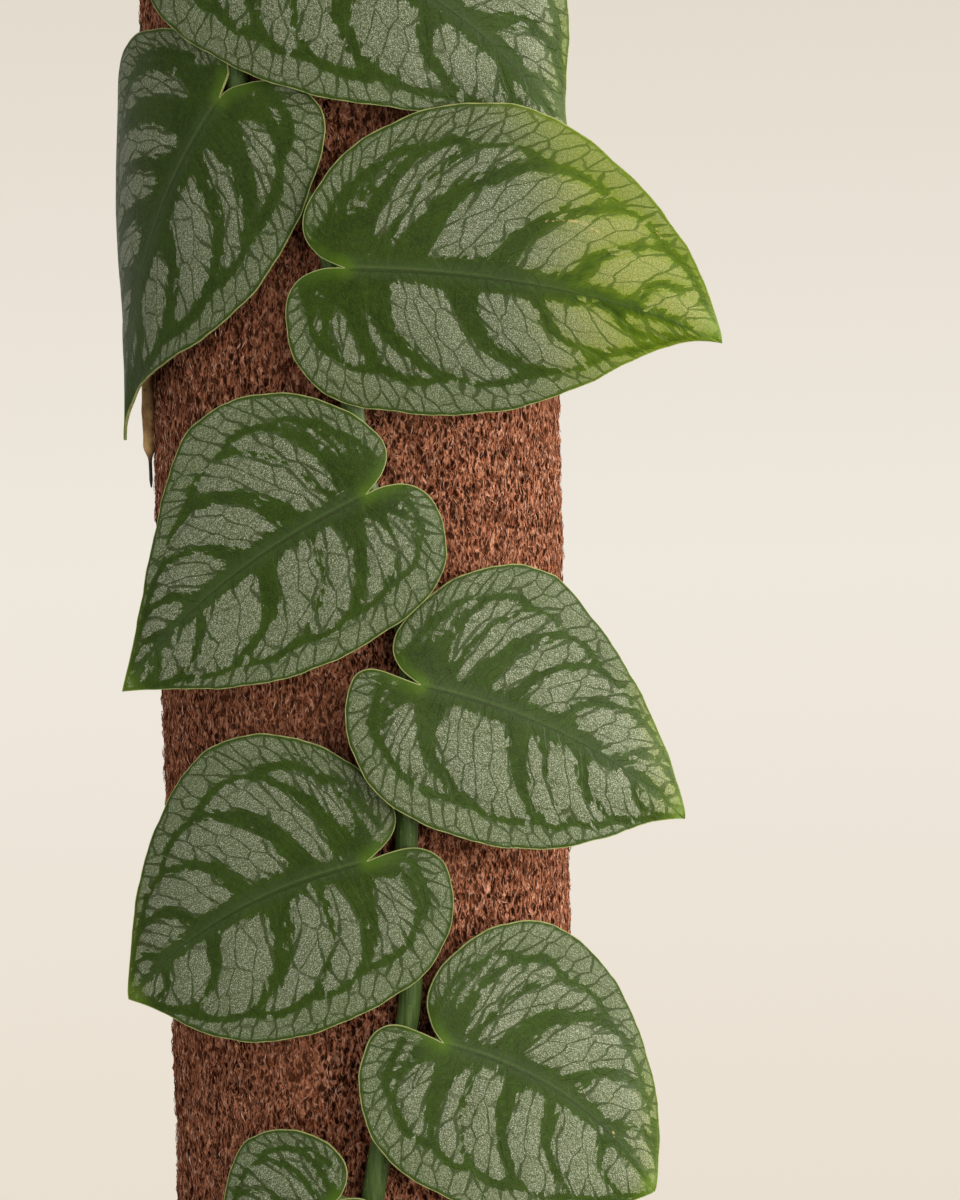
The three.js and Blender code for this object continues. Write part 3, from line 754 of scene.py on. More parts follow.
def silver_colour(mix, edge, ripe, grain, patch, glint, in_outer, lines):
    """Silver areas: grey-green grain with painted glints, greener outside the looping vein, a painted
    yellow-green glow of light shining through where the blade is backlit, and cut by the lines, each a
    share of the lines' own colour."""
    backlit_pale = mix.coats(mix.blend(mix.ramp(grain, 0.32, 0.68), (104, 112, 44), (146, 151, 82)),
                          (mix.times(in_outer, 0.4), (98, 116, 34)))
    # The lines turn yellow-green under the painted backlight glow too
    line_colour = mix.blend(ripe, (42, 56, 16), (66, 86, 12))
    return mix.coats(
        mix.blend(mix.ramp(grain, 0.36, 0.64), (62, 73, 42), (116, 122, 98)),
        (mix.times(patch, 0.3), (74, 87, 50)),
        (mix.times(in_outer, 0.3), (76, 91, 50)),
        # Painted glints: bright specks of reflected light
        (mix.times(glint, mix.number(in_outer, 0.8, 0.6)), (204, 207, 190)),
        # Painted glow of light shining through the backlit blade, yellow-green, greener by the bands'
        # edges
        (mix.times(ripe, 0.9), backlit_pale),
        (mix.times(mix.ramp(edge, 0.0, 1.3, 0.6, 0.0), ripe), (104, 122, 24)),
        *((line, line_colour) for line in lines),
    )


def leaf_accents(mix, colour, flat, ripe, margin, margin_edge):
    """The blade's colour under its accents: a dark margin, a paler midrib, tender green at the notch
    and along the rim next to it, a pale rim line, dry flecks and a greener tip."""
    tender = mix.plus(mix.layer("heart_gap"), mix.swing(flat, 1.6, 0.7))
    fleck = mix.plus(mix.layer("fleck_gap"), mix.swing(flat, 0.6, 0.4))
    tip = mix.plus(mix.layer("tip_gap"), mix.swing(flat, 2.0, 1.2))
    by_notch = mix.times(mix.ramp(tender, 1.0, 9.0, 0.6, 0.0), mix.ramp(margin_edge, 0.3, 2.6, 1.0, 0.0))
    return mix.coats(
        colour,
        # The dark margin turns yellow-green under the painted glow of backlight
        (mix.ramp(margin_edge, 0.2, 0.8, 0.7, 0.0), mix.blend(ripe, (46, 64, 16), (96, 114, 24))),
        (mix.ramp(mix.layer("midrib_gap"), 0.05, 0.7, 0.32, 0.0), (86, 102, 56)),
        (mix.ramp(tender, 0.2, 1.7, 0.34, 0.0), (78, 100, 24)),
        (by_notch, (66, 92, 18)),
        (mix.ramp(margin, 0.05, 0.17, 0.9, 0.0), (148, 152, 98)),
        (mix.ramp(fleck, -0.12, 0.06, 0.75, 0.0), (168, 150, 92)),
        (mix.ramp(tip, 0.5, 5.5, 0.6, 0.0), (86, 110, 24)),
    )


def leaf_face_material():
    """Leaf face: dark green bands along the midrib and the side veins, silver between them with a
    torn edge, cut by a net of fine dark veins, with painted glints, a painted glow of light shining
    through where the blade is backlit, and a pale rim line."""
    mix = Recipe("leaf face")
    flat, lamina = (mix.layer(name, "Vector") for name in ("flat", "lamina"))
    margin, ripe, outer, spread = (mix.layer(name) for name in ("rim_gap", "ripe", "outer", "spread"))
    in_outer = mix.ramp(outer, -0.2, 0.3)
    margin_edge = mix.plus(margin, mix.swing(flat, 1.3, 0.25))
    edge = torn_edge(mix, flat, lamina, spread, outer)
    silver = mix.times(mix.ramp(edge, -0.05, 0.15), mix.ramp(margin_edge, 0.25, 0.6))
    net_line = vein_net(mix, flat, lamina, spread, edge, in_outer)
    fine, _ = mix.net_gap(mix.warped(flat, 0.9, 0.2), (0.9, 0.9, 1))
    fine_line = mix.ramp(fine, 0.03, 0.12, 1.0, 0.0)

    grain = mix.noise(flat, 0.15, 1.0)
    patch = mix.ramp(mix.noise(flat, 5.0), 0.3, 0.7)
    glint = sparkle(mix, flat)
    dark = band_colour(mix, flat, edge, ripe, grain, patch, glint)
    lines = (mix.times(fine_line, 0.26), mix.times(net_line, 0.85))
    pale = silver_colour(mix, edge, ripe, grain, patch, glint, in_outer, lines)

    colour = leaf_accents(mix, mix.blend(silver, dark, pale), flat, ripe, margin, margin_edge)
    roughness = mix.number(silver, 0.42, mix.ramp(grain, 0.3, 0.7, 0.56, 0.42))
    relief = mix.plus(mix.times(net_line, -0.7), mix.times(silver, 0.2), mix.times(grain, 0.3),
                      mix.times(fine_line, -0.15))
    return mix.finish(Base_Color=colour, Roughness=roughness, Specular_IOR_Level=0.1, IOR=1.45,
                      Subsurface_Weight=0.04, Subsurface_Radius=LEAF_GLOW, Subsurface_Scale=0.0003,
                      Normal=mix.bump(relief, 0.00014, 0.7))


def leaf_back_material():
    """Leaf underside: plain pale green with the side veins a little raised and lighter."""
    mix = Recipe("leaf underside")
    flat = mix.layer("flat", "Vector")
    vein = mix.ramp(mix.layer("vein_gap"), -0.9, -0.2, 1.0, 0.0)
    fine, _ = mix.net_gap(flat, (1.1, 1.1, 1))
    line = mix.ramp(fine, 0.03, 0.12, 1.0, 0.0)
    colour = mix.coats(
        mix.blend(mix.noise(flat, 2.2, 3.0), (84, 104, 52), (106, 124, 70)),
        (mix.times(vein, 0.6), (124, 140, 84)),
        (mix.times(line, 0.25), (70, 90, 42)),
    )
    return mix.finish(Base_Color=colour, Roughness=0.55, Specular_IOR_Level=0.25, Subsurface_Weight=0.1,
                      Subsurface_Radius=LEAF_GLOW, Subsurface_Scale=0.0006,
                      Normal=mix.bump(mix.plus(vein, mix.times(line, 0.4)), 0.0003, 0.6))


def leaf_rim_material():
    """Leaf rim: a thin pale yellow-green edge with brown flecks here and there."""
    mix = Recipe("leaf rim")
    flat = mix.layer("flat", "Vector")
    colour = mix.coats(
        mix.blend(mix.ramp(mix.noise(flat, 1.5, 3.0), 0.3, 0.7), (132, 138, 78), (164, 166, 108)),
        (mix.ramp(mix.noise(flat, 4.0), 0.68, 0.74, 0.0, 0.5), (128, 100, 62)),
    )
    return mix.finish(Base_Color=colour, Roughness=0.5, Specular_IOR_Level=0.2, Subsurface_Weight=0.1,
                      Subsurface_Radius=LEAF_GLOW, Subsurface_Scale=0.0006)


def green_stem_material(name, low, high, light):
    """Stem or stalk: green with lengthwise streaks and corky flecks."""
    mix = Recipe(name)
    place = mix.place()
    streak = mix.noise(place, (0.0005, 0.0005, 0.006), 3.0, 0.6)
    fleck = mix.ramp(mix.noise(place, (0.0006, 0.0006, 0.0009)), 0.62, 0.72)
    colour = mix.coats(mix.blend(mix.ramp(streak, 0.3, 0.7), low, high), (mix.times(fleck, 0.55), light))
    return mix.finish(Base_Color=colour, Roughness=0.5, Specular_IOR_Level=0.25, Subsurface_Weight=0.08,
                      Subsurface_Radius=(0.5, 0.8, 0.2), Subsurface_Scale=0.0008,
                      Normal=mix.bump(mix.plus(streak, mix.times(fleck, 0.5)), 0.00015, 0.7))


def bark_material(name, dark, mid, light):
    """Roots: brown, wrinkled across and streaked along, with pale corky spots."""
    mix = Recipe(name)
    place = mix.place()
    blotch = mix.noise(place, (0.0022, 0.0022, 0.003), 4.0, 0.65)
    grain = mix.noise(place, (0.0004, 0.0004, 0.0012), 3.0, 0.6)
    colour = mix.coats(mix.blend(mix.ramp(blotch, 0.36, 0.64), mid, light),
                       (mix.ramp(grain, 0.52, 0.72, 0.0, 0.8), dark))
    return mix.finish(Base_Color=colour, Roughness=0.8, Normal=mix.bump(grain, 0.0002, 0.9))


def dried_root_material():
    """Dried root: tan and yellow-brown with dark spots, and black at its thin tail."""
    mix = Recipe("dried root")
    place = mix.place()
    blotch = mix.noise(place, (0.0016, 0.0016, 0.003), 4.0, 0.6)
    speck = mix.ramp(mix.noise(place, (0.0007, 0.0007, 0.0009)), 0.6, 0.7, 0.0, 0.7)
    colour = mix.coats(
        mix.blend(mix.ramp(blotch, 0.34, 0.66), (126, 88, 44), (178, 142, 88)),
        (speck, (70, 42, 22)),
        (mix.ramp(mix.layer("hang"), *DRIED_TAIL, 1.0, 0.0), (34, 20, 14)),
    )
    return mix.finish(Base_Color=colour, Roughness=0.65, Normal=mix.bump(blotch, 0.0004, 0.9))


def felt_material():
    """Pole: matted red-brown fibre, with small upright pits and lighter strands between, and painted
    shade in the pits, in the low matting and where the felt sinks.
    """
    mix = Recipe("pole felt")
    place = mix.place()
    drift = mix.warped(place, (0.0012, 0.0012, 0.0016), 0.00045)
    strand = mix.noise(drift, (0.00026, 0.00026, 0.0012), 3.0, 0.65)
    mat = mix.noise(drift, (0.0006, 0.0006, 0.0013), 3.0, 0.65)
    patch = mix.noise(place, (0.012, 0.012, 0.02))
    pits = [mix.ramp(mix.cells(mix.over(drift, sizes), "Distance", flat=False), low, high, depth, 0.0)
            for sizes, low, high, depth in (((0.0008, 0.0008, 0.0018), 0.2, 0.44, 1.0),
                                            ((0.00045, 0.00045, 0.001), 0.14, 0.4, 0.9))]
    hollow = mix.math("MAXIMUM", *pits)
    colour = mix.coats(
        mix.blend(mix.ramp(strand, 0.36, 0.64), (80, 32, 12), (170, 114, 86)),
        (mix.ramp(mat, 0.52, 0.68, 0.0, 0.7), (206, 156, 130)),
        # Painted shade: darker in the low matting, in the pits and where the felt sinks below its round
        (mix.ramp(mat, 0.46, 0.34, 0.0, 0.7), (54, 16, 2)),
        (mix.times(hollow, 0.95), (20, 2, 0)),
        (mix.ramp(mix.layer("depth"), -0.5, -0.1, 0.6, 0.0), (36, 10, 3)),
        (mix.ramp(patch, 0.4, 0.7, 0.0, 0.25), (140, 88, 62)),
    )
    relief = mix.plus(mix.times(strand, 0.6), mat, mix.times(hollow, -1.0))
    return mix.finish(Base_Color=colour, Roughness=0.95, Specular_IOR_Level=0.0,
                      Normal=mix.bump(relief, 0.0006, 1.0))


def fibre_material():
    """Loose fibres of the pole: each with its own tone, from dark brown to light tan."""
    mix = Recipe("pole fibre")
    tone = mix.layer("tone")
    streak = mix.noise(mix.place(), (0.0004, 0.0004, 0.001))
    colour = mix.coats(
        mix.blend(mix.ramp(tone, 0.0, 0.75), (58, 18, 4), (162, 106, 78)),
        (mix.ramp(tone, 0.76, 1.0), (224, 182, 158)),
        (mix.ramp(streak, 0.4, 0.7, 0.0, 0.35), (92, 48, 30)),
    )
    return mix.finish(Base_Color=colour, Roughness=0.8, Specular_IOR_Level=0.03)


def clay_material():
    """Pot: unglazed fired clay, faintly ringed, mottled, with a pale bloom low down and on the rim."""
    mix = Recipe("fired clay")
    place = mix.place()
    height = mix.add("ShaderNodeSeparateXYZ", {0: place}, "Z")
    mottle = mix.noise(place, (0.016, 0.016, 0.011), 5.0, 0.62)
    rings = mix.noise(place, (0.6, 0.6, 0.0016))
    grit = mix.noise(place, 0.0007, 3.0, 0.7)
    low = mix.ramp(mix.plus(height, mix.swing(place, (0.03, 0.03, 0.02), 0.03)), 0.01, 0.07, 0.45, 0.0)
    high = mix.ramp(mix.plus(height, mix.swing(place, 0.02, 0.006)), 0.12, 0.134, 0.0, 0.4)
    bloom = mix.times(mix.math("MAXIMUM", low, high), mix.ramp(mottle, 0.35, 0.6))
    colour = mix.coats(
        mix.blend(mix.ramp(mottle, 0.3, 0.7), (158, 90, 64), (178, 108, 80)),
        (mix.ramp(grit, 0.56, 0.74, 0.0, 0.5), (122, 68, 48)),
        (bloom, (196, 150, 124)),
    )
    relief = mix.plus(mix.times(rings, 0.8), mix.times(grit, 0.5))
    return mix.finish(Base_Color=colour, Roughness=0.86, Specular_IOR_Level=0.3,
                      Normal=mix.bump(relief, 0.0006, 0.6))


def mix_material(name, dark, light, speck):
    """Potting mix: damp dark grains with lighter fibres and specks."""
    mix = Recipe(name)
    place = mix.place()
    grain = mix.noise(place, 0.0016, 4.0, 0.65)
    colour = mix.coats(mix.blend(mix.ramp(grain, 0.34, 0.68), dark, light),
                       (mix.ramp(mix.noise(place, 0.008), 0.5, 0.75, 0.0, 0.4), speck))
    return mix.finish(Base_Color=colour, Roughness=0.9, Specular_IOR_Level=0.3,
                      Normal=mix.bump(grain, 0.0012, 0.9))


def stake_material():
    """Stake: pale wood, with rings and pores on its end and streaks along its side."""
    mix = Recipe("stake wood")
    place = mix.place()
    rings = mix.add("ShaderNodeTexWave", {"Vector": place, "Scale": 260.0, "Distortion": 2.5,
                                          "Detail": 2.0, "Detail Scale": 0.6}, "Fac",
                    wave_type="RINGS", rings_direction="Z", wave_profile="SAW")
    pores = mix.noise(place, (0.0003, 0.0003, 0.004), 3.0, 0.7)
    colour = mix.coats(mix.blend(rings, (196, 156, 108), (160, 116, 74)),
                       (mix.ramp(pores, 0.55, 0.7, 0.0, 0.6), (110, 74, 44)))
    return mix.finish(Base_Color=colour, Roughness=0.7, Normal=mix.bump(pores, 0.0003, 0.7))


def new_leaf_material():
    """New leaf: tender yellow-green, with faint lengthwise veins and silver only hinted at."""
    mix = Recipe("rolled new leaf")
    place = mix.place()
    vein = mix.noise(place, (0.0004, 0.0004, 0.005))
    bloom = mix.noise(place, (0.0018, 0.0018, 0.004), 3.0)
    colour = mix.coats(mix.blend(mix.ramp(vein, 0.35, 0.65), (124, 152, 62), (164, 184, 92)),
                       (mix.ramp(bloom, 0.5, 0.7, 0.0, 0.5), (150, 168, 126)))
    return mix.finish(Base_Color=colour, Roughness=0.4, Subsurface_Weight=0.3,
                      Subsurface_Radius=LEAF_GLOW, Subsurface_Scale=0.001,
                      Normal=mix.bump(vein, 0.0002, 0.5))


def cubic_arc(start, leave, arrive, end, share):
    """Cubic arc from start to end, with the handles leave and arrive, at shares of the way."""
    return ((1 - share) ** 3 * start + 3 * (1 - share) ** 2 * share * leave
            + 3 * (1 - share) * share ** 2 * arrive + share ** 3 * end)


def plain_outline(length, form, steps):
    """Half of a leaf's outline in its own plane, u to the tip and v across: three cubic arcs, from
    the notch back round the lobe, up to the widest point, and on to the tip, cut into equal steps."""
    back, shoulder, waist, width = form["back"], form["shoulder"], form["waist"], form["width"]
    arrival = math.radians(form["tip"])
    notch = NOTCH_REACH * back
    reach = TIP_REACH * (length - waist)
    arcs = [
        [(0, 0), (-notch * math.cos(NOTCH_ANGLE), notch * math.sin(NOTCH_ANGLE)),
         (-back, LOBE_LOW * shoulder), (-back, shoulder)],
        [(-back, shoulder), (-back, shoulder + LOBE_ROUND * (width - shoulder)),
         (waist - LOBE_ROUND * (waist + back), width), (waist, width)],
        [(waist, width), (waist + form["fullness"] * (length - waist), width),
         (length - reach * math.cos(arrival), reach * math.sin(arrival)), (length, 0)],
    ]
    share = np.linspace(0, 1, 400)[:, None]
    path = [cubic_arc(*points, share) for points in np.array(arcs, float)]
    return even_path(np.concatenate([path[0], path[1][1:], path[2][1:]]), steps)


def softened(outline):
    """The outline with the lobe's corner softened: there each point becomes the mean of a stretch
    round it."""
    steps = len(outline) - 1
    widest = int(LOBE_SOFTENING * steps)
    sums = np.concatenate([[[0, 0]], np.cumsum(outline, axis=0)])
    place = np.arange(steps + 1)
    arm = np.minimum(np.minimum(place, steps - place), widest)
    mean = (sums[place + arm + 1] - sums[place - arm]) / (2 * arm + 1)[:, None]
    share = smoothstep(place / steps, *LOBE_ENDS)[:, None]
    return mean * (1 - share) + outline * share


def half_outline(length, form, steps, phase):
    """Half of a leaf's outline with its lobe softened and its margin uneven: a sum of sines of the
    distance run pushes the margin in and out, except near its ends."""
    outline = softened(plain_outline(length, form, steps))
    place = np.arange(steps + 1)
    heading = np.gradient(outline, axis=0)
    pace = np.linalg.norm(heading, axis=1)
    run = np.cumsum(pace)
    size = length / TYPICAL_LENGTH
    push = sum(size * height * np.sin(2 * math.pi * run / (size * wave) + phase * wave)
               for height, wave in MARGIN_WAVES)
    push = push * smoothstep(place / steps, *WAVES_START) * smoothstep(place / steps, *WAVES_END)
    beside = np.column_stack([-heading[:, 1], heading[:, 0]]) / pace[:, None]
    return outline + push[:, None] * beside


def blade_places(made, up, outline, along, across):
    """Places in the leaf's plane. along is the share of the half outline, from notch to tip, that a
    side vein runs to, across is 0 at the midrib and 1 at the margin. Veins of the first share fan
    out of the stalk; the root of each later one moves along the bowed midrib, and all are quadratic
    arcs that arch towards the tip. up is 1 for the upper half and -1 for the lower."""
    stops = np.linspace(0, 1, len(outline))
    edge = np.stack([np.interp(along, stops, outline[:, 0]),
                     np.interp(along, stops, outline[:, 1]) * up], -1)
    share = np.maximum(0, (along - FAN_SHARE) / (1 - FAN_SHARE)) ** VEIN_CROWDING
    root = np.stack([made["length"] * share, 4 * made["bow"] * share * (1 - share)], -1)
    reach = edge - root
    arch = VEIN_ARCH * smoothstep(along, ARCH_STARTS, ARCH_FULL) * up
    middle = root + reach / 2 + np.stack([-arch * reach[..., 1], arch * reach[..., 0]], -1)
    part = np.asarray(across)[..., None]
    return arc(root, middle, edge, part)


def wrapped(made, flat, dip, proud):
    """From the leaf's plane onto the round it lies on: sideways becomes an angle round its axis, the
    margin dips by the camber, and the shingle tilt brings the lower edge forward."""
    tilt = math.radians(made["droop"])
    sideways = made["side"] * (flat[..., 0] * math.cos(tilt) + flat[..., 1] * math.sin(tilt))
    upward = -flat[..., 0] * math.sin(tilt) + flat[..., 1] * math.cos(tilt)
    rise = -CAMBER * dip - math.tan(math.radians(made["shingle"])) * upward
    start = math.radians(made["azimuth"])
    centre = on_pole(start, 0, POLE_RADIUS + made["lift"] - made["wrap"])
    return centre + on_pole(start + sideways / made["wrap"], made["height"] + upward,
                            made["wrap"] + rise + proud)


def loop_across(along, meetings):
    """How far out the looping vein runs: a rising line through LOOP_ACROSS, with a half-sine bulge
    towards the margin between each two places where side veins meet it."""
    gate = np.searchsorted(meetings, along, side="right")
    posts = np.concatenate([[meetings[0] - 0.12], meetings, [1.05]])
    low, high = posts[gate], posts[gate + 1]
    phase = np.clip((along - low) / (high - low), 0, 1)
    return np.interp(along, LOOP_ALONG, LOOP_ACROSS) + LOOP_BULGE * np.sin(math.pi * phase)


def side_veins(made, up, outline, veins, bands):
    """The dark bands of one half: for each vein an array of rows of u, v and half-width. A side vein
    leaves the midrib, arches out and bends towards the next one until it meets the looping vein,
    which comes last. A band is widest at its root, and its width grows with the vein's strength."""
    run = np.linspace(0, 1, 90)
    starts = np.array([start for start, _ in veins])
    meetings = starts + 0.5 * (np.append(starts[1:], 1) - starts)
    size = made["length"] / TYPICAL_LENGTH
    at_root, even, loss = VEIN_WIDTH
    rows = []
    for (start, strength), meeting in zip(veins, meetings):
        along = start + (meeting - start) * smoothstep(run, 0.35, 1.1)
        across = loop_across(meeting, meetings) * (1 - (1 - run) ** 1.3)
        width = bands * size * strength * (at_root * (1 - run) ** 1.2 + even - loss * run)
        rows.append(np.column_stack([blade_places(made, up, outline, along, across), width]))
    along = np.linspace(max(0.08, starts[0] - 0.1), 0.975, 160)
    loop = blade_places(made, up, outline, along, loop_across(along, meetings))
    even, swing = LOOP_WIDTH
    width = bands * size * (even + swing * np.sin(along * 31)) * smoothstep(along, 0.05, 0.25)
    rows.append(np.column_stack([loop, width]))
    return rows, meetings


def nearest(places, rows):
    """For each place, the least distance to the rows of u and v, less each row's own half-width."""
    gaps = np.linalg.norm(places.reshape(-1, 1, 2) - rows[None, :, :2], axis=2) - rows[:, 2]
    return gaps.min(axis=1).reshape(places.shape[:-1])


def fleck_gaps(places, name):
    """For each place, the least distance to the lines of dry flecks of that leaf, or a long way."""
    least = np.full(places.shape[:-1], NO_FLECK)
    for line in FLECKS.get(name, []):
        stops = even_path(np.array(line, float), 24)
        rows = np.column_stack([stops, np.full(len(stops), FLECK_HALF_WIDTH)])
        least = np.minimum(least, nearest(places, rows))
    return least


def merged(gaps, softness):
    """Smooth least value of several distance fields: minus softness times the log of the sum of
    exp(-gap / softness), which webs the bands where they join."""
    gaps = np.stack(gaps)
    least = gaps.min(axis=0)
    return least - softness * np.log(np.exp((least - gaps) / softness).sum(axis=0))


def vein_spread(flat, outline_length):
    """How far apart neighbouring side veins lie, against the margin's own steps: the step from one
    row of places to the next, measured square to the side vein."""
    sideways = np.gradient(flat, np.linspace(0, outline_length, len(flat)), axis=0)
    outwards = np.gradient(flat, axis=1)
    outwards = outwards / (np.linalg.norm(outwards, axis=-1, keepdims=True) + 1e-9)
    return np.abs(sideways[..., 0] * outwards[..., 1] - sideways[..., 1] * outwards[..., 0])


def band_gap(made, looks, flat, along, across, midrib_gap, bands):
    """Distance from the dark bands, negative inside them: the smooth least of the distances to the
    midrib's band, widest at a third of the length, and to the side veins' bands, less what the dark
    gains round the notch and by the lobe's rim, plus the leaf's silver."""
    size = made["length"] / TYPICAL_LENGTH
    share = np.clip(flat[..., 0] / made["length"], 0, 1)
    from_notch = np.linalg.norm(flat, axis=-1)
    at_start, gain = MIDRIB_WIDTH
    midrib_width = at_start + gain * smoothstep(share, 0.02, 0.32)
    midrib_width = looks["bands"] * size * midrib_width * (1 - share) ** 0.7
    gaps = [np.where(flat[..., 0] < 0, from_notch, midrib_gap) - midrib_width,
            *[nearest(flat, band) for band in bands]]
    gap = merged(gaps, BAND_WEBBING * size) + looks["silver"]
    in_lobe = (1 - smoothstep(along, 0.05, 0.2)) * smoothstep(across, 0, 0.5)
    by_heart = 1 - smoothstep(from_notch / size, 2, 8)
    return gap - size * (DARK_LOBES * in_lobe + DARK_HEART * by_heart)


def half_blade(made, looks, which, grid, seed):
    """One half of a blade as arrays of rows by columns: places in its plane, their shares along and
    across, the dip of the camber, which is the square of across and fades out over the short side
    veins at the notch and the tip, and the paints. The share of the painted yellow-green glow of light
    shining through the blade is an S-curve along the length. The paints whose names end in gap are
    distances in millimetres, and those to the notch and to the tip are scaled to a leaf of typical
    length."""
    up = 1 if which == "upper" else -1
    outline = half_outline(made["length"], made[which], OUTLINE_STEPS, seed + 0.5 * up)
    shares = (np.linspace(0, 1, count + 1) for count in grid)
    along, across = np.meshgrid(*shares, indexing="ij")
    flat = blade_places(made, up, outline, along, across)
    bands, meetings = side_veins(made, up, outline, looks[which], looks["bands"])
    size = made["length"] / TYPICAL_LENGTH
    share = np.clip(flat[..., 0] / made["length"], 0, 1)
    midrib_gap = np.abs(flat[..., 1] - 4 * made["bow"] * share * (1 - share))
    rim = np.column_stack([outline * [1, up], np.zeros(len(outline))])
    root, edge = (blade_places(made, up, outline, along, np.full_like(along, end)) for end in (0, 1))
    vein_length = np.linalg.norm(edge - root, axis=-1)
    outline_length = np.linalg.norm(np.diff(outline, axis=0), axis=1).sum()
    # Share of the painted glow of light shining through the blade, where it stands free of the pole
    amount, start = looks["ripe"]
    lean = share + (GLOW_AHEAD * across ** 3 if up > 0 else -GLOW_BEHIND * across)
    paints = {
        "flat": np.concatenate([flat, np.full((*along.shape, 1), float(PATTERN_STEP * seed))], -1),
        "lamina": np.stack([along * outline_length + LAMINA_STEPS[0] * seed + HALVES_STEP * (up < 0),
                            across * vein_length + LAMINA_STEPS[1] * seed, 0 * along], -1),
        "vein_gap": band_gap(made, looks, flat, along, across, midrib_gap, bands),
        "rim_gap": nearest(flat, rim),
        "outer": (across - loop_across(along, meetings)) * vein_length,
        "midrib_gap": midrib_gap + 2 * (flat[..., 0] < 0) + 0.6 * share,
        "heart_gap": np.linalg.norm(flat, axis=-1) / size,
        "fleck_gap": fleck_gaps(flat, made["name"]),
        "tip_gap": np.linalg.norm(flat - [made["length"], 0], axis=-1) / size,
        "spread": vein_spread(flat, outline_length),
        "ripe": amount * smoothstep(lean, start, start + GLOW_SPAN),
    }
    dip = across ** 2 * smoothstep(vein_length, 0, CAMBER_FADE)
    return flat, along, across, dip, paints


def shell_triangles(rows, columns):
    """Triangles of a thin closed sheet, and which of three finishes each has: the face's grid, the
    underside's, and two rows of rim points that join them at the first and the last column."""
    count = rows * columns
    face = grid_triangles(rows, columns)
    under = grid_triangles(rows, columns, count)[:, ::-1]
    number = np.arange(count).reshape(rows, columns)
    rim = 2 * count + np.arange(2 * rows).reshape(rows, 2)
    first, last = (np.concatenate([strip_triangles(number[:, column], rim[:, side]),
                                   strip_triangles(rim[:, side], count + number[:, column])])
                   for column, side in ((0, 0), (-1, 1)))
    triangles = np.concatenate([face, under, first[:, ::-1], last])
    return triangles, np.repeat([0, 1, 2], [len(face), len(under), len(first) + len(last)])


def blade_mesh(made, looks, grid, seed):
    """The blade as a thin closed shell. Each half is a grid along and across, and both share the
    midrib. The surface is quilted: it rises between the dark bands and dips along them, it swells
    gently in between, and the margin waves. The rim is a third row of points, a little outside and
    between the faces."""
    *lower_half, lower_paints = half_blade(made, looks, "lower", grid, seed)
    *upper_half, upper_paints = half_blade(made, looks, "upper", grid, seed)
    flat, along, across, dip = (np.concatenate([lower[:, :0:-1], upper], axis=1)
                                for lower, upper in zip(lower_half, upper_half))
    paints = {title: np.concatenate([values[:, :0:-1], upper_paints[title]], axis=1)
              for title, values in lower_paints.items()}
    side = np.sign(np.arange(flat.shape[1]) - grid[1])
    quilt = QUILT_RISE * smoothstep(paints["vein_gap"], -0.3, 2.2) - QUILT_DIP
    wave = EDGE_WAVE * across ** 3 * np.sin(math.pi * along)
    wave = wave * np.sin(along * 16 + side * 1.3 + seed * 2.1)
    swell = lumps(paints["flat"], SWELL, (SWELL_SIZE, SWELL_SIZE, 1), 51) * 4 * across * (1 - across)
    rise = (quilt + wave + swell) * smoothstep(paints["heart_gap"], 0.5, 5)
    face = wrapped(made, flat, dip, rise + BLADE / 2)
    under = wrapped(made, flat, dip, rise - BLADE / 2)
    ends = [0, -1]
    outside = flat[:, ends] + RIM_PROUD * (flat[:, ends] - flat[:, [2, -3]]) / 2
    outside[ends] = flat[:, ends][ends]
    rim = wrapped(made, outside, dip[:, ends], rise[:, ends])
    points = np.concatenate([part.reshape(-1, 3) for part in (face, under, rim)])
    triangles, finish = shell_triangles(*across.shape)

    def spread(values):
        parts = [part.reshape(-1, *values.shape[2:]) for part in (values, values, values[:, ends])]
        return np.concatenate(parts)

    return points, outward(points, triangles), finish, {title: spread(v) for title, v in paints.items()}


def stem_azimuth(height):
    """Azimuth in degrees of the stem at a height, by straight steps between its route's points."""
    route = np.array(STEM_ROUTE, float)
    return float(np.interp(height, route[:, 1], route[:, 0]))


def stalk_mesh(made):
    """Leaf stalk: a quadratic arc that leaves the stem below the leaf, rises along it and bends out
    to the back of the blade, thickest at its foot where it clasps the stem."""
    low = made["height"] - STALK_RISE
    start = on_pole(math.radians(stem_azimuth(low)), low, STEM_AXIS)
    bend = on_pole(math.radians(stem_azimuth(made["height"])), made["height"] - STALK_RISE / 3,
                   STEM_AXIS + STEM_RADIUS)
    end = on_pole(math.radians(made["azimuth"]), made["height"],
                  POLE_RADIUS + made["lift"] - STALK_END)
    share = np.linspace(0, 1, STALK_STEPS)
    size = 0.75 + 0.25 * min(1, made["length"] / FULL_STALK_LENGTH)
    radius = STALK_RADIUS * size * (1 + STALK_CLASP * (1 - share) ** 3)
    return tube(arc(start, bend, end, share[:, None]), radius, STALK_SIDES)


def leaf_piece(made, looks, grid, seed, materials):
    """One leaf: its blade and its stalk in one object."""
    *blade, finish, paints = blade_mesh(made, looks, grid, seed)
    stalk = stalk_mesh(made)
    for title, values in paints.items():
        filler = np.zeros((len(stalk[0]), *values.shape[1:]))
        paints[title] = np.concatenate([values, filler])
    finish = np.concatenate([finish, np.full(len(stalk[1]), 3)])
    name = made["name"].replace("leaf", "blade")
    new_piece(name, *joined([blade, stalk]), materials, "leaf", [made["name"]], paints, finish, sharp=50)


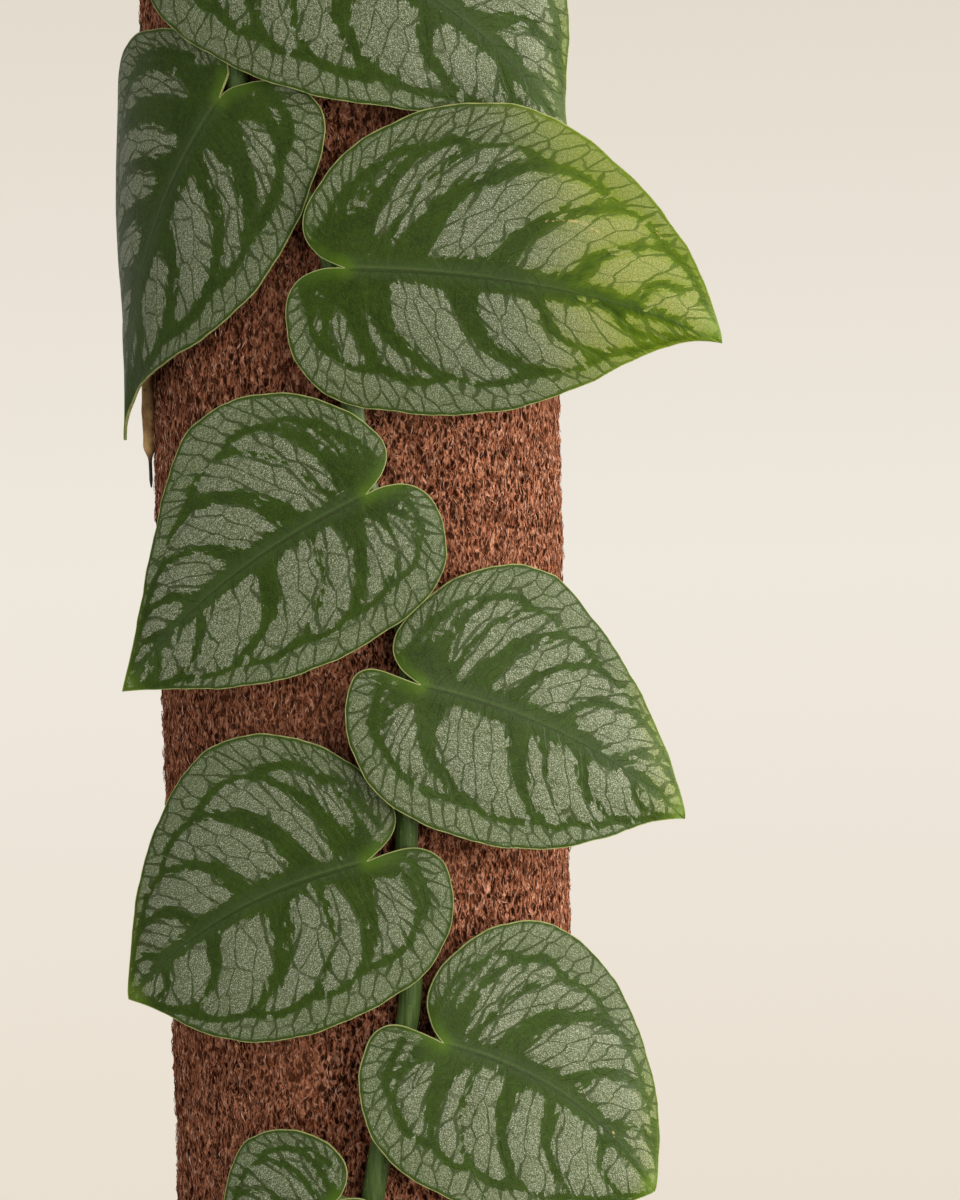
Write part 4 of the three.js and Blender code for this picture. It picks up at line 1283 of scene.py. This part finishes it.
def completed_leaves():
    """The leaves outside the close view: the typical form at its own length, with small changes."""
    draws = iter(seeded_draws(FORM_SEED, 8 * len(OTHER_LEAVES)))

    def sized(form, length):
        changed = {side: form[side] * length * (1 + FORM_CHANGE * (2 * next(draws) - 1))
                   for side in ("back", "shoulder", "waist", "width")}
        return {**form, **changed}

    leaves = []
    for name, side, azimuth, height, wrap, lift, length, droop in OTHER_LEAVES:
        upper = sized(TYPICAL_UPPER, length)
        lower = sized(TYPICAL_LOWER, length)
        leaves.append(leaf(name, side, azimuth, height, wrap, lift, TYPICAL_SHINGLE, length,
                           TYPICAL_BOW * length, droop, upper, lower))
    return leaves


def felt_depth(points):
    """How far the felt stands in or out of its round at these points: slow swells, finer matting,
    and pits where a third field is high."""
    swell = lumps(points, 0.35, (5, 5, 8), 1)
    matting = lumps(points, 0.6, (0.85, 0.85, 1.5), 2)
    pits = -0.3 * smoothstep(cloud(points, (1, 1, 1.9), 3), 0.62, 0.85)
    return swell + matting + pits


def pole_stops():
    """Heights and azimuths of the felt's grid: finest in the seen band and on the front, coarser
    elsewhere, and coarsest below the soil."""
    stops = (POLE_BOTTOM, SOIL_TOP - FELT_BELOW_SOIL, *SEEN_BAND, POLE_TOP - 0.6)
    last = len(FELT_ROWS) - 1
    heights = [np.linspace(stops[place], stops[place + 1], rows, endpoint=place == last)
               for place, rows in enumerate(FELT_ROWS)]
    front = np.linspace(-FELT_FRONT, FELT_FRONT, FELT_COLUMNS[0], endpoint=False)
    back = np.linspace(FELT_FRONT, 360 - FELT_FRONT, FELT_COLUMNS[1], endpoint=False)
    return np.concatenate(heights), np.radians(np.concatenate([front, back]))


def felt_sleeve(material):
    """Pole sleeve: a grid of heights by azimuths at the felt's round plus its depth, closed by a
    ring at the foot, and at the top by rings that run in to the stake's hole."""
    heights, azimuths = pole_stops()
    height, azimuth = np.meshgrid(heights, azimuths, indexing="ij")
    round_points = on_pole(azimuth, height, FELT_RADIUS)
    depth = felt_depth(round_points)
    wall = on_pole(azimuth, height, FELT_RADIUS + depth)
    inside = CORE_RADIUS + GAP
    top_radii = np.linspace(FELT_RADIUS - 0.8, inside, 22)
    radius, top_azimuth = np.meshgrid(top_radii, azimuths, indexing="ij")
    top_depth = felt_depth(on_pole(top_azimuth, POLE_TOP + 7, radius))
    top = on_pole(top_azimuth, POLE_TOP + np.minimum(top_depth, 0.1), radius)
    bore = on_pole(azimuths[None, :], np.array([[POLE_BOTTOM]]), inside)
    points = np.concatenate([bore, wall, top, bore])
    depths = np.concatenate([0 * bore[..., 0], depth, top_depth, 0 * bore[..., 0]])
    triangles = grid_triangles(len(points), len(azimuths), closed=True)
    points = points.reshape(-1, 3)
    new_piece("fibre_pole", points, outward(points, triangles), [material], "pole_fibre",
              ["pole_sleeve"], {"depth": depths.ravel()}, sharp=180)


def spindles(middle, foot, head, across, away, radius):
    """Slim spindles of six faces, pointed at foot and head, with three corners round the middle."""
    turn = np.radians([90, 210, 330])[None, :, None]
    ring = np.cos(turn) * across[:, None] + np.sin(turn) * away[:, None]
    ring = middle[:, None] + radius[:, None, None] * ring
    points = np.concatenate([foot[:, None], head[:, None], ring], axis=1)
    faces = np.array([[0, 3, 2], [0, 4, 3], [0, 2, 4], [1, 2, 3], [1, 3, 4], [1, 4, 2]])
    return points.reshape(-1, 3), copies(faces, 5, len(points))


def loose_fibres(material):
    """Loose fibres of the pole: each is a slim spindle that lies nearly upright on the felt with its
    middle proud of it and its ends sunk in."""
    draw = np.random.default_rng(11)
    low, high = SEEN_BAND
    seen = int(FIBRE_COUNT * FIBRES_IN_BAND)
    unseen = FIBRE_COUNT - seen
    azimuth = np.concatenate([draw.uniform(-FIBRE_FRONT, FIBRE_FRONT, seen),
                              draw.uniform(-180, 180, unseen)])
    height = np.concatenate([draw.uniform(low, high, seen),
                             draw.uniform(SOIL_TOP + 1, POLE_TOP - 3, unseen)])
    azimuth = np.radians(azimuth)
    base = felt_depth(on_pole(azimuth, height, FELT_RADIUS))
    lift = draw.uniform(0.0, FIBRE_LIFT, FIBRE_COUNT)
    middle = on_pole(azimuth, height, FELT_RADIUS + np.maximum(base, -0.25) + lift)
    lean = np.where(draw.uniform(size=FIBRE_COUNT) < WILD_FIBRES,
                    draw.normal(0, WILD_LEAN, FIBRE_COUNT), draw.normal(0, FIBRE_LEAN, FIBRE_COUNT))
    tip_out = draw.normal(0, 0.08, FIBRE_COUNT)
    length = draw.uniform(*FIBRE_LENGTHS, FIBRE_COUNT)
    radius = draw.uniform(*FIBRE_RADII, FIBRE_COUNT)
    away = on_pole(azimuth, 0, 1.0)
    beside = np.stack([np.cos(azimuth), np.sin(azimuth), 0 * azimuth], -1)
    lean = lean[:, None]
    heading = np.cos(lean) * [0, 0, 1] + np.sin(lean) * beside + tip_out[:, None] * away
    across = np.cross(heading, away)
    sink = draw.uniform(*FIBRE_SINK, FIBRE_COUNT)[:, None] * away
    reach = heading * length[:, None] / 2
    points, triangles = spindles(middle, middle - reach - sink, middle + reach - sink, across, away,
                                 radius)
    tone = np.repeat(draw.uniform(size=FIBRE_COUNT), 5)
    new_piece("pole_fibres", points, outward(points, triangles), [material], "pole_fibre",
              paints={"tone": tone}, sharp=180)


def climbing_stem(leaves, material):
    """Stem: a tube along its route, a little uneven, swollen at each node, where a leaf scar rings it,
    and slimmer at its end."""
    route = [on_pole(math.radians(azimuth), height, STEM_AXIS + off)
             for azimuth, height, off in STEM_ROUTE]
    path = even_path(smooth_path(route, 24), 620)
    height = path[:, 2]
    swelling = np.zeros(len(path))
    for made in leaves:
        node = made["height"] - STALK_RISE
        for share, above, reach in NODE_SWELLINGS:
            swelling += share * np.exp(-((height - node - above) / reach) ** 2)
    drift = lumps(path, 0.06, 6, 5)
    taper = smoothstep(height, *STEM_TAPER)
    radius = (STEM_RADIUS - STEM_SLACK) * (1 + np.minimum(swelling, 0.2) + drift) * (1 - 0.55 * taper)
    new_piece("climbing_stem", *tube(path, radius, STEM_SIDES), [material], "stem", ["stem"])


def aerial_roots(leaves, material):
    """Clasping roots below each leaf: one that follows the pole behind the blade, and the stub of
    another on the other side. Each tapers to its tip and wanders a little."""
    draws = iter(seeded_draws(FORM_SEED, 2 * len(leaves)))
    distance = POLE_RADIUS + GAP + ROOT_RADIUS
    share = np.linspace(0, 1, 18)
    radius = ROOT_RADIUS * (1 - 0.35 * share) * np.sqrt(np.clip(1.04 - share ** 6, 0, 1))
    meshes = []
    for made in leaves:
        height = made["height"] - ROOT_BELOW_JUNCTION
        length = ROOT_LENGTHS[0] + next(draws) * (ROOT_LENGTHS[1] - ROOT_LENGTHS[0])
        sag = ROOT_SAG[0] + next(draws) * (ROOT_SAG[1] - ROOT_SAG[0])
        start = math.radians(stem_azimuth(height))
        side = made["side"]
        for turn, drop in ((side * length, sag), (-side * ROOT_STUB_LENGTH, ROOT_STUB_SAG)):
            path = on_pole(start + turn / distance * share, height - drop * share ** 2, distance)
            path[:, 2] += lumps(path, 0.35, 2.5, 9)
            meshes.append(tube(path, radius, 10))
    new_piece("aerial_roots", *joined(meshes), [material], "stem", ["stem"])


def dried_root(material):
    """Dried root at the left edge: a shrivelled tube that hangs down and ends in a thin tail."""
    distance = POLE_RADIUS - GAP + DRIED_ROOT_RADIUS
    route = [on_pole(math.radians(azimuth), height, distance) for azimuth, height in DRIED_ROOT_ROUTE]
    path = even_path(smooth_path(route, 16), 130)
    share = np.linspace(0, 1, len(path))
    shrivel = 1 + lumps(path, 0.22, 1.8, 21)
    radius = DRIED_ROOT_RADIUS * shrivel * (1 - TAIL_THINNING * smoothstep(share, *TAIL_STARTS))
    radius = radius * (1 - 0.6 * smoothstep(share, *TAIL_ENDS))
    points, triangles = tube(path, radius, 16)
    new_piece("dried_root", points, triangles, [material], "stem", ["stem"], {"hang": points[:, 2]})


def potting_mix(material):
    """Soil: the fill of the pot, its top a grid of rings made uneven by three fields of lumps."""
    rim_foot = POT_HEIGHT - POT_RIM_HEIGHT
    side = POT_RIM_INSIDE_RADIUS - SOIL_EDGE_GAP
    lower = [[POLE_RADIUS + GAP, POLE_BOTTOM - GAP], [POLE_RADIUS + GAP - 8, POT_FLOOR + GAP],
             [POT_FLOOR_RADIUS - GAP - 2, POT_FLOOR + GAP], [POT_FLOOR_RADIUS, POT_FLOOR + GAP + 2],
             [POT_INSIDE_RADIUS - GAP, rim_foot + GAP], [side, rim_foot + POT_INSIDE_STEP + GAP]]
    top_radii = np.linspace(side, POLE_RADIUS + GAP, SOIL_RINGS)
    top = np.column_stack([top_radii, np.full(SOIL_RINGS, SOIL_TOP)])
    points, triangles = turned(np.concatenate([lower, top, lower[:1]]), SOIL_SIDES)
    on_top = points[:, 2] > SOIL_TOP - 1
    uneven = sum(lumps(points, *lump) for lump in SOIL_LUMPS)
    points[:, 2] += np.where(on_top, uneven - SOIL_SINKS, 0)
    new_piece("potting_mix", points, outward(points, triangles), [material], "soil", ["soil"], sharp=180)


def crumb_shape():
    """Points and triangles of a ball of 20 faces: the corners of three crossed golden rectangles."""
    golden = (1 + math.sqrt(5)) / 2
    corners = []
    for one in (-1, 1):
        for other in (-golden, golden):
            corners += [(0, one, other), (one, other, 0), (other, 0, one)]
    corners = np.array(corners) / math.sqrt(1 + golden ** 2)
    near = np.linalg.norm(corners[:, None] - corners[None], axis=2) < 1.1
    faces = [(a, b, c) for a in range(12) for b in range(a + 1, 12) for c in range(b + 1, 12)
             if near[a, b] and near[b, c] and near[a, c]]
    faces = np.array(faces)
    first, second, third = (corners[faces[:, place]] for place in range(3))
    inward = np.einsum("ij,ij->i", np.cross(second - first, third - first), first) < 0
    faces[inward] = faces[inward][:, ::-1]
    return corners, faces


def scattered(name, material, count, sizes, flatness, seed):
    """Crumbs strewn over the soil: copies of the 20-faced ball, each stretched, turned about the
    vertical, roughened by a seeded draw at each corner, and sunk a third into the soil."""
    draw = np.random.default_rng(seed)
    corners, faces = crumb_shape()
    radius = draw.uniform(*sizes, count)
    shape = corners[None] * draw.uniform(*CRUMB_ROUGHNESS, (count, 12, 1)) * radius[:, None, None]
    shape = shape * np.stack([draw.uniform(*CRUMB_LENGTHS, count), draw.uniform(*CRUMB_WIDTHS, count),
                              np.full(count, flatness)], 1)[:, None]
    turn = draw.uniform(0, 2 * math.pi, count)
    cosine, sine = np.cos(turn)[:, None], np.sin(turn)[:, None]
    x = shape[..., 0] * cosine - shape[..., 1] * sine
    y = shape[..., 0] * sine + shape[..., 1] * cosine
    ring = np.sqrt(draw.uniform((POLE_RADIUS + 4) ** 2, (POT_RIM_INSIDE_RADIUS - 4) ** 2, count))
    angle = draw.uniform(0, 2 * math.pi, count)
    centre = np.stack([ring * np.cos(angle), ring * np.sin(angle), np.full(count, SOIL_TOP + 0.2)], 1)
    centre[:, 2] += lumps(centre, 1.4, 9, 31) + radius * flatness * 0.3
    points = centre[:, None] + np.stack([x, y, shape[..., 2]], -1)
    new_piece(name, points.reshape(-1, 3), copies(faces, 12, count), [material], "soil", sharp=25)


def drilled(pot, place, material):
    """Cuts one drainage hole, upright at this place in the pot's floor, by a boolean."""
    bar = place + [[0, 0, -POT_FLOOR + 2], [0, 0, 2 * POT_FLOOR]]
    cutter = new_piece("cutter", *tube(bar, DRAIN_RADIUS, 40, out=(1, 0, 0)), [material], "clay")
    cut = pot.modifiers.new("drain", "BOOLEAN")
    cut.operation = "DIFFERENCE"
    cut.object = cutter
    shaped = bpy.data.meshes.new_from_object(
        pot.evaluated_get(bpy.context.evaluated_depsgraph_get()))
    pot.modifiers.clear()
    pot.data = shaped
    bpy.data.objects.remove(cutter)


def clay_pot(material):
    """Pot: a turned profile with rounded edges, and drainage holes evenly round its floor."""
    rim_foot = POT_HEIGHT - POT_RIM_HEIGHT
    corners = [
        [0, 0], [POT_FOOT_RADIUS, 0], [POT_WALL_TOP_RADIUS, rim_foot], [POT_RIM_LOW_RADIUS, rim_foot],
        [POT_RIM_TOP_RADIUS, POT_HEIGHT], [POT_RIM_INSIDE_RADIUS, POT_HEIGHT],
        [POT_RIM_INSIDE_RADIUS, rim_foot + POT_INSIDE_STEP], [POT_INSIDE_RADIUS, rim_foot],
        [POT_FLOOR_RADIUS, POT_FLOOR], [0, POT_FLOOR],
    ]
    points, triangles = turned(rounded(corners, POT_ROUNDING), POT_SIDES)
    pot = new_piece("clay_pot", points, outward(points, triangles), [material], "clay", ["pot"],
                    sharp=POT_SHARP)
    for angle in (np.arange(DRAIN_HOLES) + 0.5) / DRAIN_HOLES * 2 * math.pi:
        place = np.array([DRAIN_CIRCLE * math.cos(angle), DRAIN_CIRCLE * math.sin(angle), 0])
        drilled(pot, place, material)
    pot.data.set_sharp_from_angle(angle=math.radians(POT_SHARP))


def stake_end(material):
    """Stake: a turned bar with a chamfer round its sawn top."""
    top = POLE_TOP + CORE_PROUD
    corners = [[0, POLE_BOTTOM], [CORE_RADIUS, POLE_BOTTOM], [CORE_RADIUS, top], [0, top]]
    points, triangles = turned(rounded(corners, CORE_CHAMFER), 64)
    new_piece("stake_end", points, outward(points, triangles), [material], "stake_wood", ["pole_core"],
              sharp=40)


def rolled_leaf(material):
    """New leaf: a slim spindle, widest below its middle, whose radius grows once round it so that
    the free edge of the roll stands as a step along one side and twists towards the tip."""
    rows, sides = 90, 64
    share = np.linspace(0, 1, rows)[:, None]
    turn = np.linspace(0, 2 * math.pi, sides, endpoint=False)[None, :]
    profile = np.interp(share, NEW_LEAF_ALONG, NEW_LEAF_ROUND)
    roll = (turn / (2 * math.pi) + 0.8 * share) % 1
    radius = NEW_LEAF["radius"] * profile * (0.86 + 0.16 * roll)
    foot = on_pole(math.radians(NEW_LEAF["azimuth"]), NEW_LEAF["bottom"], POLE_RADIUS + NEW_LEAF["lift"])
    lean = math.radians(NEW_LEAF["lean"])
    x, y = radius * np.cos(turn), radius * np.sin(turn)
    z = NEW_LEAF["length"] * share + 0 * turn
    points = np.stack([x, y * math.cos(lean) - z * math.sin(lean),
                       y * math.sin(lean) + z * math.cos(lean)], -1) + foot
    points = points.reshape(-1, 3)
    triangles = grid_triangles(rows, sides, closed=True)
    new_piece("rolled_leaf", points, outward(points, triangles), [material], "new_leaf", ["new_leaf"],
              sharp=40)


def studio_floor():
    """Floor: a pale disc under the pot that fades out to the surroundings' own colour."""
    mix = Recipe("studio floor")
    place = mix.place()
    colour = mix.blend(mix.noise(place, 0.2), (178, 171, 160), (184, 177, 167))
    fade = mix.ramp(mix.vector("LENGTH", place, output="Value"), *FLOOR_FADE, 1.0, 0.0)
    mix.finish(Base_Color=colour, Roughness=0.9, Specular_IOR_Level=0.1, Alpha=fade)
    ring = np.arange(FLOOR_SIDES)
    turn = 2 * math.pi * ring / FLOOR_SIDES
    edge = FLOOR_RADIUS * np.stack([np.cos(turn), np.sin(turn), 0 * turn], 1)
    points = np.concatenate([[[0, 0, 0]], edge]) - [0, 0, 0.1]
    triangles = np.stack([0 * ring, ring + 1, (ring + 1) % FLOOR_SIDES + 1], 1)
    mesh = bpy.data.meshes.new("studio_floor")
    mesh.from_pydata((points * MM).tolist(), [], triangles.tolist())
    mesh.materials.append(mix.material)
    floor = placed("studio_floor", mesh)


def soft_lamp(name, azimuth, elevation, distance, size, watts, colour):
    """A square area lamp, hidden from the camera, that looks at the middle of the plant."""
    data = bpy.data.lights.new(name, "AREA")
    data.shape = "SQUARE"
    data.size = size
    data.energy = watts
    data.color = colour
    lamp = placed(name, data)
    turn, rise = math.radians(azimuth), math.radians(elevation)
    away = Vector((math.sin(turn) * math.cos(rise), -math.cos(turn) * math.cos(rise), math.sin(rise)))
    lamp.location = Vector((0, 0, CAMERA_HEIGHT)) + away * distance
    lamp.rotation_mode = "QUATERNION"
    lamp.rotation_quaternion = away.to_track_quat("Z", "Y")
    lamp.visible_camera = False


def surroundings():
    """World: the camera sees a warm white that is a little brighter level with the plant than above
    and below it, as a paper backdrop is, and everything else gets an even light from all round."""
    world = bpy.data.worlds.new("studio")
    bpy.context.scene.world = world
    world.use_nodes = True
    nodes = Nodes(world.node_tree)
    nodes.tree.nodes.clear()
    direction = nodes.add("ShaderNodeTexCoord", {}, "Generated")
    level = nodes.add("ShaderNodeSeparateXYZ", {0: direction}, "Z")
    span = nodes.add("ShaderNodeMapRange", {"Value": level, "From Min": BACKDROP_FOOT, "From Max": 0.0},
                     "Result")
    shade = nodes.add("ShaderNodeValToRGB", {0: span})
    stops = shade.node.color_ramp.elements
    stops[0].color, stops[1].color = paint(233, 223, 208), paint(226, 218, 204)
    stops.new(0.52).color = paint(239, 232, 221)
    seen = nodes.add("ShaderNodeBackground", {"Color": shade})
    around = nodes.add("ShaderNodeBackground", {"Color": (1.0, 0.965, 0.92, 1.0), "Strength": 0.55})
    to_camera = nodes.add("ShaderNodeLightPath", {}, "Is Camera Ray")
    light = nodes.add("ShaderNodeMixShader", {0: to_camera, 1: around, 2: seen})
    output = nodes.tree.nodes.new("ShaderNodeOutputWorld")
    nodes.feed(output.inputs["Surface"], light)


def photo_camera():
    """Camera: looks along +Y and a little down, turned by the roll, from a fixed distance."""
    level_up = Vector((0, math.sin(CAMERA_PITCH), math.cos(CAMERA_PITCH)))
    ahead = Vector((0, math.cos(CAMERA_PITCH), -math.sin(CAMERA_PITCH)))
    level_right = Vector((1, 0, 0))
    right = level_right * math.cos(CAMERA_ROLL) - level_up * math.sin(CAMERA_ROLL)
    up = level_up * math.cos(CAMERA_ROLL) + level_right * math.sin(CAMERA_ROLL)
    data = bpy.data.cameras.new("photo_camera")
    data.lens = PHOTO_LENS
    camera = placed("photo_camera", data)
    target = Vector((0, 0, CAMERA_HEIGHT)) + right * CAMERA_SIDE
    camera.location = target - ahead * CAMERA_DISTANCE
    camera.rotation_mode = "QUATERNION"
    camera.rotation_quaternion = Matrix((right, up, -ahead)).transposed().to_quaternion()
    bpy.context.scene.camera = camera


def studio():
    """Camera, floor, surroundings and lamps, whose light comes mostly from the right."""
    photo_camera()
    studio_floor()
    surroundings()
    for lamp in LAMPS:
        soft_lamp(*lamp)
    bpy.context.scene.view_settings.view_transform = "Standard"
    bpy.context.scene.view_settings.look = "None"


def plant():
    """Leaves, stem, roots and the new leaf."""
    stalk = green_stem_material("leaf stalk", (66, 88, 30), (90, 112, 48), (118, 130, 78))
    materials = [leaf_face_material(), leaf_back_material(), leaf_rim_material(), stalk]
    leaves = [*completed_leaves(), *SEEN_LEAVES]
    for seed, made in enumerate(leaves, start=1):
        looks = VEINS.get(made["name"], TYPICAL_VEINS)
        grid = SEEN_GRID if made["name"] in VEINS else OTHER_GRID
        leaf_piece(made, looks, grid, seed, materials)
    climbing_stem(leaves, green_stem_material("green stem", (46, 64, 20), (70, 92, 36), (100, 116, 68)))
    aerial_roots(leaves, bark_material("root bark", (46, 24, 12), (96, 58, 32), (140, 92, 52)))
    dried_root(dried_root_material())
    rolled_leaf(new_leaf_material())


def support():
    """Pole, stake, soil and pot."""
    felt_sleeve(felt_material())
    loose_fibres(fibre_material())
    stake_end(stake_material())
    potting_mix(mix_material("potting mix", (30, 20, 14), (66, 46, 32), (84, 58, 40)))
    crumb = mix_material("bark crumbs", (48, 30, 20), (104, 70, 46), (126, 90, 60))
    scattered("mix_crumbs", crumb, **CRUMBS)
    grit = mix_material("pale grit", (176, 170, 160), (222, 218, 208), (196, 188, 174))
    scattered("pale_grit", grit, **GRIT)
    clay_pot(clay_material())


studio()
support()
plant()

bpy.context.view_layer.update()
